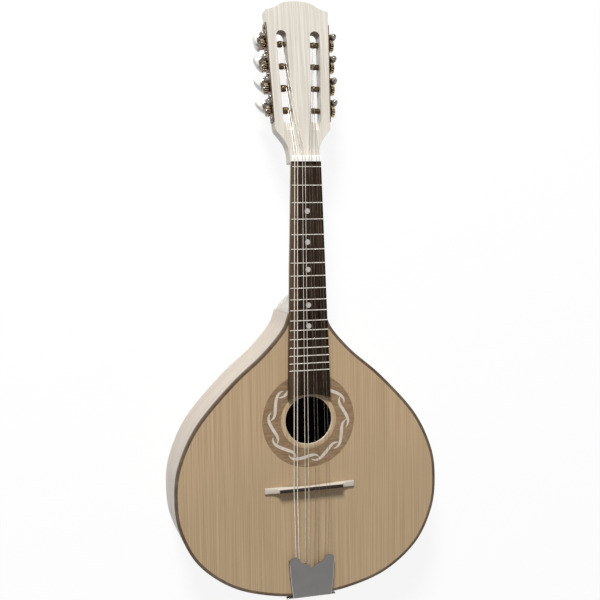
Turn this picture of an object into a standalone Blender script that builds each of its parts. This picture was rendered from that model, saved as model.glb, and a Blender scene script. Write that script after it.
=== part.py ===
import math

import bmesh
import bpy
from mathutils import Matrix, Vector

MM = 0.001

# Driving dimensions. The instrument lies on its back, the neck runs along +Y,
# and +Z leaves the soundboard. While it is built, Y = 0 is the bridge line and
# Z = 0 is the soundboard's top face.
SCALE_LENGTH = 350 * MM
BODY_WIDTH = 298 * MM
BODY_DEPTH = 66 * MM
BRIDGE_TO_TAIL = 120.9 * MM
BRIDGE_TO_NECK_END = 193 * MM
SOUNDBOARD_THICKNESS = 2.8 * MM
BACK_THICKNESS = 2.8 * MM
SIDE_THICKNESS = 2.4 * MM
BINDING_WIDTH = 2.7 * MM
BINDING_DEPTH = 5.0 * MM
LINING_WIDTH = 4.5 * MM
LINING_HEIGHT = 7.0 * MM
TAIL_BLOCK_LENGTH = 20 * MM
NECK_BLOCK_LENGTH = 34 * MM
HOLE_FROM_BRIDGE = 75.3 * MM
HOLE_RADIUS = 26.3 * MM
HOLE_RING_RADIUS = 31.5 * MM
ROSETTE_RADIUS = 52.2 * MM
ROSETTE_THICKNESS = 1.0 * MM
NUT_WIDTH = 32.4 * MM
NUT_THICKNESS = 6.3 * MM
NUT_HEIGHT_OVER_BOARD = 1.9 * MM
BOARD_THICKNESS = 5.0 * MM
BOARD_PAST_ZERO_FRET = 5.5 * MM
BOARD_TAPER = 0.0298
BOARD_END_FROM_HOLE = 29.2 * MM
BOARD_END_SAG = 4.6 * MM
FRET_COUNT = 17
FRET_WIDTH = 1.6 * MM
FRET_HEIGHT = 0.9 * MM
NECK_THICKNESS = 15.0 * MM
HEAD_TILT = math.radians(8.0)
HEAD_THICKNESS = 15.0 * MM
HEAD_DROP = 1.7 * MM
HEAD_LENGTH = 176 * MM
HEAD_SHOULDER = 35.2 * MM
HEAD_FLARE = math.radians(1.99)
HEAD_EDGE_AT_NUT = 29.3 * MM
SLOT_FROM_EDGE = 10.1 * MM
SLOT_WIDTH = 10.6 * MM
SLOT_START = 43.2 * MM
SLOT_PAST_ROLLER = 13.3 * MM
ROLLER_SPACING = 24.2 * MM
FIRST_ROLLER = 57.2 * MM
ROLLER_RADIUS = 3.0 * MM
ROLLER_SPIGOT_RADIUS = 2.0 * MM
WHEEL_TEETH = 14
WHEEL_RADIUS = 5.4 * MM
WHEEL_WIDTH = 3.6 * MM
WORM_RADIUS = 2.9 * MM
TOOTH_HEIGHT = 0.65 * MM
WORM_LENGTH = 9.8 * MM
SHAFT_RADIUS = 1.6 * MM
SHAFT_KNOB_RADIUS = 3.1 * MM
PLATE_THICKNESS = 1.2 * MM
PLATE_HEIGHT = 13.8 * MM
EAR_THICKNESS = 1.0 * MM
BUTTON_WIDTH = 20 * MM
BUTTON_LENGTH = 13 * MM
BUTTON_THICKNESS = 6.6 * MM
BUTTON_CENTRE = 20.5 * MM
BRIDGE_LENGTH = 102 * MM
BRIDGE_FOOT_WIDTH = 6.8 * MM
BRIDGE_HEIGHT = 9.4 * MM
BRIDGE_ARCH_RISE = 3.4 * MM
BRIDGE_SLANT = math.radians(0.45)
SADDLE_LENGTH = 71.6 * MM
SADDLE_WIDTH = 3.4 * MM
SADDLE_HEIGHT = 2.2 * MM
TAIL_COVER_HEIGHT = 6.4 * MM
TAIL_COVER_LENGTH = 41 * MM
TAIL_COVER_WIDTH = 51 * MM
TAIL_SHEET = 0.8 * MM
TAIL_BASE_SHEET = 1.2 * MM

# Fits. The gap is left between pieces that rest on each other, the close fit
# between visible pieces let into each other, and the running fit round shafts.
GAP = 0.3 * MM
CLOSE_FIT = 0.1 * MM
RUNNING_FIT = 0.3 * MM
MESH_BACKLASH = 0.2 * MM

# Half outline of the body from the tail to the neck end: share of the half
# width, and share of the way from the tail to the neck end.
OUTLINE = [
    (0.0, 0.0),
    (0.295, 0.012),
    (0.595, 0.058),
    (0.84, 0.15),
    (0.97, 0.27),
    (1.0, 0.389),
    (0.965, 0.5),
    (0.83, 0.63),
    (0.57, 0.767),
    (0.34, 0.862),
    (0.19, 0.942),
    (0.138, 1.0),
]
OUTLINE_STEPS = 24

BUTTON_TURNS = {
    "left": (80, 62, 48, 44),
    "right": (35, 62, 12, 75),
}

# String places across the instrument at the nut, saddle and tailpiece, their
# radii, the roller that each one winds on, counted from the head's tip, and
# how far from the slot's inner wall it meets that roller.
STRINGS = [
    ("string_g_outer", "wound", -13.6, -20.6, -16.8, 0.50, "left", 4, 3.8),
    ("string_g_inner", "wound", -10.5, -16.8, -13.6, 0.50, "left", 3, 4.0),
    ("string_d_outer", "wound", -5.1, -7.9, -7.2, 0.38, "left", 2, 4.2),
    ("string_d_inner", "wound", -2.0, -3.8, -2.8, 0.38, "left", 1, 4.4),
    ("string_a_inner", "plain", 2.3, 4.2, 3.4, 0.24, "right", 1, 4.4),
    ("string_a_outer", "plain", 5.3, 8.0, 7.8, 0.24, "right", 2, 4.2),
    ("string_e_inner", "plain", 10.4, 16.8, 14.6, 0.18, "right", 3, 4.0),
    ("string_e_outer", "plain", 13.4, 20.4, 18.0, 0.18, "right", 4, 3.8),
]

BOARD_BOTTOM = GAP
BOARD_TOP = BOARD_BOTTOM + BOARD_THICKNESS
BOARD_HEAD_END = SCALE_LENGTH + BOARD_PAST_ZERO_FRET
HEAD_START = BOARD_HEAD_END - 0.5 * MM
SIDE_TOP = -BINDING_DEPTH - GAP
BACK_TOP = -BODY_DEPTH + BACK_THICKNESS
SIDE_BOTTOM = BACK_TOP + GAP
INNER_TOP = -SOUNDBOARD_THICKNESS - GAP
WORM_DISTANCE = WHEEL_RADIUS + WORM_RADIUS
WHEEL_CENTRE_OUT = PLATE_THICKNESS + CLOSE_FIT + WORM_RADIUS + TOOTH_HEIGHT + 0.4 * MM
TOOTH_PITCH = 2 * math.pi * WHEEL_RADIUS / WHEEL_TEETH
Y_LOW = -(BRIDGE_TO_TAIL + GAP + TAIL_BASE_SHEET)
Y_HIGH = HEAD_START + HEAD_LENGTH * math.cos(HEAD_TILT)
Y_CENTRE = (Y_LOW + Y_HIGH) / 2


def clear_scene():
    for obj in list(bpy.data.objects):
        bpy.data.objects.remove(obj, do_unlink=True)
    for block in (bpy.data.meshes, bpy.data.curves, bpy.data.materials):
        for item in list(block):
            block.remove(item)


def new_collection(name):
    collection = bpy.data.collections.new(name)
    bpy.context.scene.collection.children.link(collection)
    return collection


clear_scene()
PARTS = new_collection("mandolin")
CUTTERS = new_collection("cutters")


def material(name, color, roughness, metallic=0.0):
    made = bpy.data.materials.new(name)
    made.use_nodes = True
    shader = made.node_tree.nodes["Principled BSDF"]
    shader.inputs["Base Color"].default_value = (*color, 1.0)
    shader.inputs["Roughness"].default_value = roughness
    shader.inputs["Metallic"].default_value = metallic
    made.diffuse_color = (*color, 1.0)
    return made


def add_empty(name, parent, matrix):
    empty = bpy.data.objects.new(name, None)
    empty.empty_display_size = 0.01
    PARTS.objects.link(empty)
    empty.parent = parent
    empty.matrix_basis = matrix
    return empty


def bm_to_mesh(bm, name):
    bmesh.ops.remove_doubles(bm, verts=bm.verts, dist=1e-6)
    bmesh.ops.recalc_face_normals(bm, faces=bm.faces)
    mesh = bpy.data.meshes.new(name)
    bm.to_mesh(mesh)
    bm.free()
    return mesh


def add_part(name, mesh, look, parent, matrix=None, smooth=False):
    color, roughness, metallic = look
    obj = bpy.data.objects.new(name, mesh)
    PARTS.objects.link(obj)
    obj.parent = parent
    if matrix is not None:
        obj.matrix_basis = matrix
    mesh.materials.clear()
    mesh.materials.append(material(name, color, roughness, metallic))
    if smooth:
        mesh.shade_smooth()
        mesh.set_sharp_from_angle(angle=math.radians(32))
    return obj


def object_mesh(obj):
    bpy.context.view_layer.update()
    depsgraph = bpy.context.evaluated_depsgraph_get()
    mesh = bpy.data.meshes.new_from_object(obj.evaluated_get(depsgraph))
    bpy.data.objects.remove(obj, do_unlink=True)
    return mesh


def plate_mesh(name, loops, low, high):
    curve = bpy.data.curves.new(name, "CURVE")
    curve.dimensions = "2D"
    curve.fill_mode = "BOTH"
    curve.extrude = (high - low) / 2
    for loop in loops:
        spline = curve.splines.new("POLY")
        spline.points.add(len(loop) - 1)
        for point, (x, y) in zip(spline.points, loop):
            point.co = (x, y, 0, 1)
        spline.use_cyclic_u = True
    obj = bpy.data.objects.new(name, curve)
    CUTTERS.objects.link(obj)
    mesh = object_mesh(obj)
    bpy.data.curves.remove(curve)
    bm = bmesh.new()
    bm.from_mesh(mesh)
    bmesh.ops.translate(bm, verts=bm.verts, vec=(0, 0, (high + low) / 2))
    return bm_to_mesh(bm, name)


def loft_mesh(name, rings):
    bm = bmesh.new()
    rows = [[bm.verts.new(point) for point in ring] for ring in rings]
    count = len(rows[0])
    for low, high in zip(rows, rows[1:]):
        for i in range(count):
            j = (i + 1) % count
            bm.faces.new((low[i], low[j], high[j], high[i]))
    bm.faces.new(rows[0])
    bm.faces.new(rows[-1])
    return bm_to_mesh(bm, name)


def box_mesh(name, low, high):
    bm = bmesh.new()
    size = [b - a for a, b in zip(low, high)]
    middle = [(a + b) / 2 for a, b in zip(low, high)]
    bmesh.ops.create_cube(bm, size=1.0)
    bmesh.ops.scale(bm, verts=bm.verts, vec=size)
    bmesh.ops.translate(bm, verts=bm.verts, vec=middle)
    return bm_to_mesh(bm, name)


def cylinder_mesh(name, radius, low, high, segments=16):
    bm = bmesh.new()
    bmesh.ops.create_cone(
        bm, cap_ends=True, segments=segments, radius1=radius, radius2=radius,
        depth=high - low)
    bmesh.ops.translate(bm, verts=bm.verts, vec=(0, 0, (high + low) / 2))
    return bm_to_mesh(bm, name)


def turned_mesh(name, profile, segments):
    outline = bpy.data.meshes.new(name)
    points = [(radius, 0, height) for radius, height in profile]
    edges = [(i, i + 1) for i in range(len(points) - 1)]
    outline.from_pydata(points, edges, [])
    obj = bpy.data.objects.new(name, outline)
    CUTTERS.objects.link(obj)
    screw = obj.modifiers.new("turn", "SCREW")
    screw.axis = "Z"
    screw.angle = 2 * math.pi
    screw.steps = segments
    screw.render_steps = segments
    screw.use_merge_vertices = True
    screw.merge_threshold = 0.00001
    mesh = object_mesh(obj)
    bm = bmesh.new()
    bm.from_mesh(mesh)
    return bm_to_mesh(bm, name)


def joined_mesh(name, pieces):
    bm = bmesh.new()
    for mesh, matrix in pieces:
        copy = mesh.copy()
        copy.transform(matrix)
        bm.from_mesh(copy)
        bpy.data.meshes.remove(copy)
    bmesh.ops.recalc_face_normals(bm, faces=bm.faces)
    joined = bpy.data.meshes.new(name)
    bm.to_mesh(joined)
    bm.free()
    return joined


def boolean(obj, mesh, operation="DIFFERENCE"):
    cutter = bpy.data.objects.new(obj.name + "_cutter", mesh)
    CUTTERS.objects.link(cutter)
    cutter.parent = obj.parent
    cutter.matrix_basis = obj.matrix_basis.copy()
    cutter.hide_render = True
    cutter.display_type = "WIRE"
    modifier = obj.modifiers.new(operation.lower(), "BOOLEAN")
    modifier.operation = operation
    modifier.solver = "EXACT"
    modifier.object = cutter


def circle(radius, count, centre=(0.0, 0.0), start=0.0):
    points = []
    for i in range(count):
        angle = start + 2 * math.pi * i / count
        points.append((centre[0] + radius * math.cos(angle), centre[1] + radius * math.sin(angle)))
    return points


def smooth_line(points, steps):
    dense = []
    mirrored = (-points[1][0], points[1][1])
    onward = tuple(2 * a - b for a, b in zip(points[-1], points[-2]))
    padded = [mirrored] + points + [onward]
    for k in range(len(points) - 1):
        p0, p1, p2, p3 = [Vector(p) for p in padded[k:k + 4]]
        for i in range(12):
            t = i / 12
            a = 2 * p1 + (p2 - p0) * t
            b = (2 * p0 - 5 * p1 + 4 * p2 - p3) * t * t
            c = (3 * p1 - p0 - 3 * p2 + p3) * t * t * t
            dense.append((a + b + c) / 2)
    dense.append(Vector(points[-1]))
    lengths = [0.0]
    for a, b in zip(dense, dense[1:]):
        lengths.append(lengths[-1] + (b - a).length)
    result = []
    k = 0
    for i in range(steps + 1):
        target = lengths[-1] * i / steps
        while k < len(dense) - 2 and lengths[k + 1] < target:
            k += 1
        share = (target - lengths[k]) / (lengths[k + 1] - lengths[k])
        point = dense[k].lerp(dense[k + 1], min(1.0, max(0.0, share)))
        result.append((point.x, point.y))
    return result


def body_length():
    return BRIDGE_TO_TAIL + BRIDGE_TO_NECK_END


def half_outline():
    points = []
    for x, y in OUTLINE:
        points.append((x * BODY_WIDTH / 2, y * body_length() - BRIDGE_TO_TAIL))
    return smooth_line(points, OUTLINE_STEPS)


def full_outline():
    right = half_outline()
    left = [(-x, y) for x, y in reversed(right)]
    return right + left[:-1]


def inset(loop, distance):
    result = []
    count = len(loop)
    for i in range(count):
        before = Vector(loop[i - 1])
        here = Vector(loop[i])
        after = Vector(loop[(i + 1) % count])
        one = (here - before).normalized()
        two = (after - here).normalized()
        normal_one = Vector((-one.y, one.x))
        normal_two = Vector((-two.y, two.x))
        middle = (normal_one + normal_two).normalized()
        reach = distance / max(0.3, middle.dot(normal_one))
        result.append(tuple(here + middle * reach))
    return result


def width_at(y, margin):
    loop = inset(full_outline(), margin)
    widest = 0.0
    for (x1, y1), (x2, y2) in zip(loop, loop[1:] + loop[:1]):
        if (y1 - y) * (y2 - y) <= 0 and y1 != y2:
            widest = max(widest, x1 + (x2 - x1) * (y - y1) / (y2 - y1))
    return widest


def board_half_width(y):
    return NUT_WIDTH / 2 + BOARD_TAPER * (BOARD_HEAD_END - y)


def fret_place(number):
    return SCALE_LENGTH * 2 ** (-number / 12)


WOOD_TOP = ((0.44, 0.32, 0.20), 0.45, 0.0)
WOOD_PALE = ((0.74, 0.66, 0.54), 0.4, 0.0)
WOOD_INSIDE = ((0.55, 0.42, 0.28), 0.7, 0.0)
WOOD_BINDING = ((0.12, 0.075, 0.045), 0.4, 0.0)
WOOD_ROSETTE = ((0.30, 0.22, 0.15), 0.45, 0.0)
WOOD_RING = ((0.52, 0.40, 0.26), 0.45, 0.0)
WOOD_DARK = ((0.06, 0.035, 0.022), 0.4, 0.0)
BONE = ((0.86, 0.83, 0.76), 0.35, 0.0)
STEEL = ((0.40, 0.38, 0.35), 0.35, 1.0)
BRASS = ((0.45, 0.33, 0.16), 0.35, 1.0)
BUTTON_LOOK = ((0.78, 0.75, 0.68), 0.25, 0.0)
CHROME = ((0.45, 0.45, 0.45), 0.12, 1.0)
STRING_BRIGHT = ((0.70, 0.66, 0.60), 0.3, 1.0)
STRING_STEEL = ((0.42, 0.41, 0.40), 0.3, 1.0)

ROOT = add_empty("mandolin_frame", None, Matrix.Translation((0, -Y_CENTRE, BODY_DEPTH)))


# Body shell
def make_body():
    outline = full_outline()
    hole_centre = (0.0, HOLE_FROM_BRIDGE)

    top_edge = inset(outline, BINDING_WIDTH + CLOSE_FIT)
    ring_seat = circle(HOLE_RING_RADIUS + CLOSE_FIT / 2, 40, hole_centre)
    soundboard = add_part(
        "soundboard",
        plate_mesh("soundboard", [top_edge, ring_seat], -SOUNDBOARD_THICKNESS, 0.0),
        WOOD_TOP, ROOT, smooth=True)
    seat_outer = circle(ROSETTE_RADIUS + CLOSE_FIT, 40, hole_centre)
    seat = plate_mesh(
        "rosette_seat",
        [seat_outer, circle(HOLE_RING_RADIUS - 2 * MM, 32, hole_centre)],
        -ROSETTE_THICKNESS - CLOSE_FIT, 2 * MM)
    boolean(soundboard, seat)

    ring_edge = circle(HOLE_RING_RADIUS - CLOSE_FIT / 2, 40, hole_centre)
    hole = circle(HOLE_RADIUS, 40, hole_centre)
    add_part(
        "sound_hole_ring",
        plate_mesh("sound_hole_ring", [ring_edge, hole], -SOUNDBOARD_THICKNESS, 0.0),
        WOOD_RING, ROOT, smooth=True)

    add_part(
        "rosette",
        plate_mesh(
            "rosette",
            [circle(ROSETTE_RADIUS, 40, hole_centre),
             circle(HOLE_RING_RADIUS + CLOSE_FIT / 2, 40, hole_centre)],
            -ROSETTE_THICKNESS, 0.0),
        WOOD_ROSETTE, ROOT, smooth=True)

    add_part(
        "binding",
        plate_mesh("binding", [outline, inset(outline, BINDING_WIDTH)], -BINDING_DEPTH, 0.0),
        WOOD_BINDING, ROOT, smooth=True)
    add_part(
        "sides",
        plate_mesh("sides", [outline, inset(outline, SIDE_THICKNESS)], SIDE_BOTTOM, SIDE_TOP),
        WOOD_PALE, ROOT, smooth=True)
    back = add_part(
        "back",
        plate_mesh("back", [outline], -BODY_DEPTH, BACK_TOP),
        WOOD_PALE, ROOT, smooth=True)

    margin = max(SIDE_THICKNESS, BINDING_WIDTH) + 2 * GAP + LINING_WIDTH
    top_places = (
        HOLE_FROM_BRIDGE + ROSETTE_RADIUS - 10 * MM,
        HOLE_FROM_BRIDGE - ROSETTE_RADIUS + 14 * MM,
        -0.45 * BRIDGE_TO_TAIL)
    back_places = (HOLE_FROM_BRIDGE + 25 * MM, 0.0, -0.6 * BRIDGE_TO_TAIL)
    boolean(soundboard, brace_mesh("top_braces", top_places, -SOUNDBOARD_THICKNESS, -1, margin), "UNION")
    boolean(back, brace_mesh("back_braces", back_places, BACK_TOP, 1, margin), "UNION")


# Linings and blocks inside the body
def make_inside():
    outline = full_outline()
    edge = max(SIDE_THICKNESS, BINDING_WIDTH) + GAP
    outer = inset(outline, edge)
    inner = inset(outline, edge + LINING_WIDTH)
    for name, low, high in (
            ("top_lining", INNER_TOP - LINING_HEIGHT, INNER_TOP),
            ("back_lining", SIDE_BOTTOM, SIDE_BOTTOM + LINING_HEIGHT)):
        add_part(name, plate_mesh(name, [outer, inner], low, high), WOOD_INSIDE, ROOT)

    rings = [inset(outline, edge - 1 * MM), inset(outline, edge + LINING_WIDTH + GAP)]
    low_ring = plate_mesh(
        "ring", rings, SIDE_BOTTOM - 1 * MM, SIDE_BOTTOM + LINING_HEIGHT + GAP)
    high_ring = plate_mesh(
        "ring", rings, INNER_TOP - LINING_HEIGHT - GAP, INNER_TOP + 1 * MM)
    notches = [(low_ring, Matrix()), (high_ring, Matrix())]
    tail = outer[:4]
    tail.append((tail[-1][0], tail[0][1] + TAIL_BLOCK_LENGTH))
    neck = outer[OUTLINE_STEPS - 2:OUTLINE_STEPS + 1]
    neck.insert(0, (neck[0][0], neck[-1][1] - NECK_BLOCK_LENGTH))
    for name, right in (("tail_block", tail), ("neck_block", neck)):
        loop = right + [(-x, y) for x, y in reversed(right) if x > 0]
        block = add_part(
            name, plate_mesh(name, [loop], SIDE_BOTTOM, INNER_TOP), WOOD_INSIDE, ROOT)
        boolean(block, joined_mesh(name + "_notches", notches))


def brace_mesh(name, places, face, direction, margin):
    pieces = []
    height = 10 * MM
    for y in places:
        reach = min(width_at(y - 4 * MM, margin), width_at(y + 4 * MM, margin)) - 1 * MM
        profile = [
            (-reach, face - direction * 1 * MM),
            (reach, face - direction * 1 * MM),
            (reach, face + direction * 0.25 * height),
            (reach - 22 * MM, face + direction * height),
            (-reach + 22 * MM, face + direction * height),
            (-reach, face + direction * 0.25 * height)]
        bar = plate_mesh("brace", [profile], -3.5 * MM, 3.5 * MM)
        turn = Matrix.Rotation(math.pi / 2, 4, "X")
        pieces.append((bar, Matrix.Translation((0, y, 0)) @ turn))
    return joined_mesh(name, pieces)


# Neck with its heel, then the fingerboard with its frets
def neck_ring(y, top_half, depth, low_half, power):
    ring = []
    steps = 7
    for i in range(steps + 1):
        angle = math.pi / 2 * i / steps
        share = math.sin(angle) ** (2 / power)
        spread = low_half + (top_half - low_half) * (1 - share)
        x = spread * max(0.0, math.cos(angle)) ** (2 / power)
        ring.append((x, y, BOARD_BOTTOM - CLOSE_FIT - depth * share))
    ring += [(-x, y, z) for x, y, z in reversed(ring[:-1])]
    return ring


def make_neck():
    body_end = BRIDGE_TO_NECK_END + GAP
    heel_depth = BODY_DEPTH - 3 * MM
    shaft = NECK_THICKNESS
    rows = [
        (HEAD_START - CLOSE_FIT, 0.0, shaft + 1.6 * MM, 0.0, 2.6),
        (HEAD_START - 12 * MM, 0.0, shaft, 0.0, 2.3),
        (BRIDGE_TO_NECK_END + 42 * MM, 0.0, shaft + 1.5 * MM, 0.0, 2.3),
        (BRIDGE_TO_NECK_END + 30 * MM, 0.0, shaft + 3.5 * MM, -2 * MM, 2.4),
        (BRIDGE_TO_NECK_END + 24 * MM, 0.0, shaft + 8 * MM, -4 * MM, 2.6),
        (BRIDGE_TO_NECK_END + 20 * MM, 0.0, 0.50 * heel_depth, -8 * MM, 3.0),
        (BRIDGE_TO_NECK_END + 17 * MM, 0.0, 0.78 * heel_depth, -11 * MM, 3.4),
        (BRIDGE_TO_NECK_END + 14.5 * MM, 0.0, 0.95 * heel_depth, -12.5 * MM, 4.0),
        (BRIDGE_TO_NECK_END + 10 * MM, 0.0, 0.99 * heel_depth, -9 * MM, 5.0),
        (BRIDGE_TO_NECK_END + 5 * MM, 0.0, heel_depth, -5 * MM, 6.0),
        (body_end, 0.0, heel_depth, -1.0 * MM, 7.0)]
    rings = []
    for y, wider, depth, narrower, power in rows:
        top_half = board_half_width(y) + wider
        rings.append(neck_ring(y, top_half, depth, top_half + narrower, power))
    slant = math.tan(HEAD_TILT)
    rings[0] = [(x, y + (z + HEAD_DROP) * slant, z) for x, y, z in rings[0]]
    add_part("neck", loft_mesh("neck", rings), WOOD_PALE, ROOT, smooth=True)


def make_fingerboard():
    end_y = HOLE_FROM_BRIDGE + BOARD_END_FROM_HOLE
    loop = [(board_half_width(BOARD_HEAD_END), BOARD_HEAD_END)]
    loop = [(-x, y) for x, y in loop] + loop
    half = board_half_width(end_y - BOARD_END_SAG)
    for i in range(13):
        share = 1 - 2 * i / 12
        loop.append((half * share, end_y - BOARD_END_SAG * share * share))
    board = add_part(
        "fingerboard",
        plate_mesh("fingerboard", [loop], BOARD_BOTTOM, BOARD_TOP),
        WOOD_DARK, ROOT, smooth=True)

    pieces = []
    for number in range(FRET_COUNT + 1):
        y = fret_place(number)
        height = FRET_HEIGHT
        if number == 0:
            height += 0.2 * MM
        profile = []
        for x, z in ((1, -0.5), (1, 0.25), (0.45, 1.0), (-0.45, 1.0), (-1, 0.25), (-1, -0.5)):
            profile.append((x * FRET_WIDTH / 2, z * height))
        reach = board_half_width(y) - 0.3 * MM
        bar = plate_mesh("fret", [profile], -reach, reach)
        turn = Matrix(((0, 0, 1, 0), (1, 0, 0, 0), (0, 1, 0, 0), (0, 0, 0, 1)))
        shift = Matrix.Translation((0, y, BOARD_TOP))
        pieces.append((bar, shift @ turn))
    boolean(board, joined_mesh("frets", pieces), "UNION")


# Head with its two slots, nut and tuning machines
def head_matrix():
    place = Matrix.Translation((0, HEAD_START, -HEAD_DROP))
    return place @ Matrix.Rotation(-HEAD_TILT, 4, "X")


def side_sign(side):
    return 1.0 if side == "right" else -1.0


def side_matrix(side):
    sign = side_sign(side)
    place = Matrix.Translation((sign * HEAD_EDGE_AT_NUT, 0, 0))
    return place @ Matrix.Rotation(-sign * HEAD_FLARE, 4, "Z")


def roller_place(number):
    return FIRST_ROLLER + (4 - number) * ROLLER_SPACING


def screw_places():
    places = [roller_place(n) - WHEEL_RADIUS - 3.4 * MM for n in (1, 2, 3, 4)]
    places.append(roller_place(1) + WORM_DISTANCE + WORM_RADIUS + 7.4 * MM)
    return places


def head_outline():
    def edge(s):
        return HEAD_EDGE_AT_NUT + s * math.tan(HEAD_FLARE)

    top = HEAD_LENGTH - 10.5 * MM
    half = [
        (NUT_WIDTH / 2 + 0.3 * MM, 0.0),
        (NUT_WIDTH / 2 + 0.5 * MM, 0.26 * HEAD_SHOULDER),
        (NUT_WIDTH / 2 + 1.7 * MM, 0.46 * HEAD_SHOULDER),
        (NUT_WIDTH / 2 + 4.6 * MM, 0.65 * HEAD_SHOULDER),
        (NUT_WIDTH / 2 + 9.2 * MM, 0.825 * HEAD_SHOULDER),
        (edge(HEAD_SHOULDER) - 1.4 * MM, HEAD_SHOULDER - 1.6 * MM),
        (edge(HEAD_SHOULDER + 2 * MM), HEAD_SHOULDER + 1.2 * MM),
        (edge(top), top),
        (edge(top) - 6 * MM, top + 1.6 * MM),
        (edge(top) - 12 * MM, top + 4.2 * MM),
        (edge(top) - 17 * MM, top + 7.4 * MM),
        (edge(top) - 22 * MM, top + 9.2 * MM),
        (edge(top) - 28 * MM, top + 10.1 * MM)]
    left = [(-x, y) for x, y in reversed(half)]
    return half + [(0.0, HEAD_LENGTH)] + left


def slot_loop(side):
    sign = side_sign(side)
    centre = -(SLOT_FROM_EDGE + SLOT_WIDTH / 2)
    radius = SLOT_WIDTH / 2
    end = roller_place(1) + SLOT_PAST_ROLLER - radius
    points = [(centre - radius, SLOT_START), (centre + radius, SLOT_START)]
    for i in range(9):
        angle = math.pi * i / 8
        points.append((centre + radius * math.cos(angle), end + radius * math.sin(angle)))
    matrix = side_matrix(side)
    loop = []
    for x, y in points:
        spot = matrix @ Vector((sign * x, y, 0))
        loop.append((spot.x, spot.y))
    return loop


def make_head():
    head = add_empty("head_frame", ROOT, head_matrix())
    loops = [head_outline(), slot_loop("left"), slot_loop("right")]
    headstock = add_part(
        "headstock",
        plate_mesh("headstock", loops, -HEAD_THICKNESS, 0.0),
        WOOD_PALE, head, smooth=True)
    depth = -HEAD_THICKNESS / 2
    cutters = []
    for side in ("left", "right"):
        sign = side_sign(side)
        base = side_matrix(side)
        through = SLOT_FROM_EDGE + SLOT_WIDTH / 2
        inner = SLOT_FROM_EDGE + SLOT_WIDTH + 5 * MM
        outer_hole = cylinder_mesh("hole", ROLLER_RADIUS + RUNNING_FIT, -through, 2 * MM, 10)
        inner_hole = cylinder_mesh(
            "hole", ROLLER_SPIGOT_RADIUS + RUNNING_FIT, -inner, -through - 0.5 * MM, 8)
        turn = Matrix.Rotation(math.pi / 2, 4, "Y")
        flip = Matrix.Scale(sign, 4, (1, 0, 0))
        for number in (1, 2, 3, 4):
            spot = Matrix.Translation((0, roller_place(number), depth))
            cutters.append((outer_hole, base @ spot @ flip @ turn))
            cutters.append((inner_hole, base @ spot @ flip @ turn))
        ramp = plate_mesh(
            "ramp",
            [[(SLOT_START - 9 * MM, 0.0), (SLOT_START + 1 * MM, -5.5 * MM),
              (SLOT_START + 1 * MM, 1 * MM), (SLOT_START - 9 * MM, 1 * MM)]],
            through - 2.6 * MM, through + 4.4 * MM)
        stand = Matrix(((0, 0, -1, 0), (1, 0, 0, 0), (0, 1, 0, 0), (0, 0, 0, 1)))
        cutters.append((ramp, base @ flip @ stand))
    boolean(headstock, joined_mesh("head_cutters", cutters))

    for side in ("left", "right"):
        frame = add_empty(side + "_machine_frame", head, side_matrix(side))
        make_plate(side, frame)
        for number in (1, 2, 3, 4):
            make_machine(side, number, frame)


def make_nut():
    low = -HEAD_DROP + CLOSE_FIT
    start = BOARD_HEAD_END + CLOSE_FIT
    high = BOARD_TOP + NUT_HEIGHT_OVER_BOARD
    half = NUT_WIDTH / 2
    profile = [
        (start, low),
        (start + NUT_THICKNESS, low),
        (start + NUT_THICKNESS, high - 0.9 * MM),
        (start + NUT_THICKNESS - 0.8 * MM, high - 0.25 * MM),
        (start + NUT_THICKNESS / 2, high),
        (start, high)]
    mesh = plate_mesh("nut", [profile], -half, half)
    mesh.transform(Matrix(((0, 0, 1, 0), (1, 0, 0, 0), (0, 1, 0, 0), (0, 0, 0, 1))))
    nut = add_part("nut", mesh, BONE, ROOT, smooth=True)
    notches = []
    for _, _, x, _, _, radius, _, _, _ in STRINGS:
        wide = radius * MM + CLOSE_FIT
        floor = nut_string_height(radius) - radius * MM - CLOSE_FIT
        slot = box_mesh("notch", (x * MM - wide, start - 1 * MM, floor),
                        (x * MM + wide, start + NUT_THICKNESS + 1 * MM, high + 1 * MM))
        notches.append((slot, Matrix()))
    boolean(nut, joined_mesh("nut_notches", notches))


def nut_string_height(radius):
    return BOARD_TOP + FRET_HEIGHT + 0.2 * MM + CLOSE_FIT + radius * MM


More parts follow.
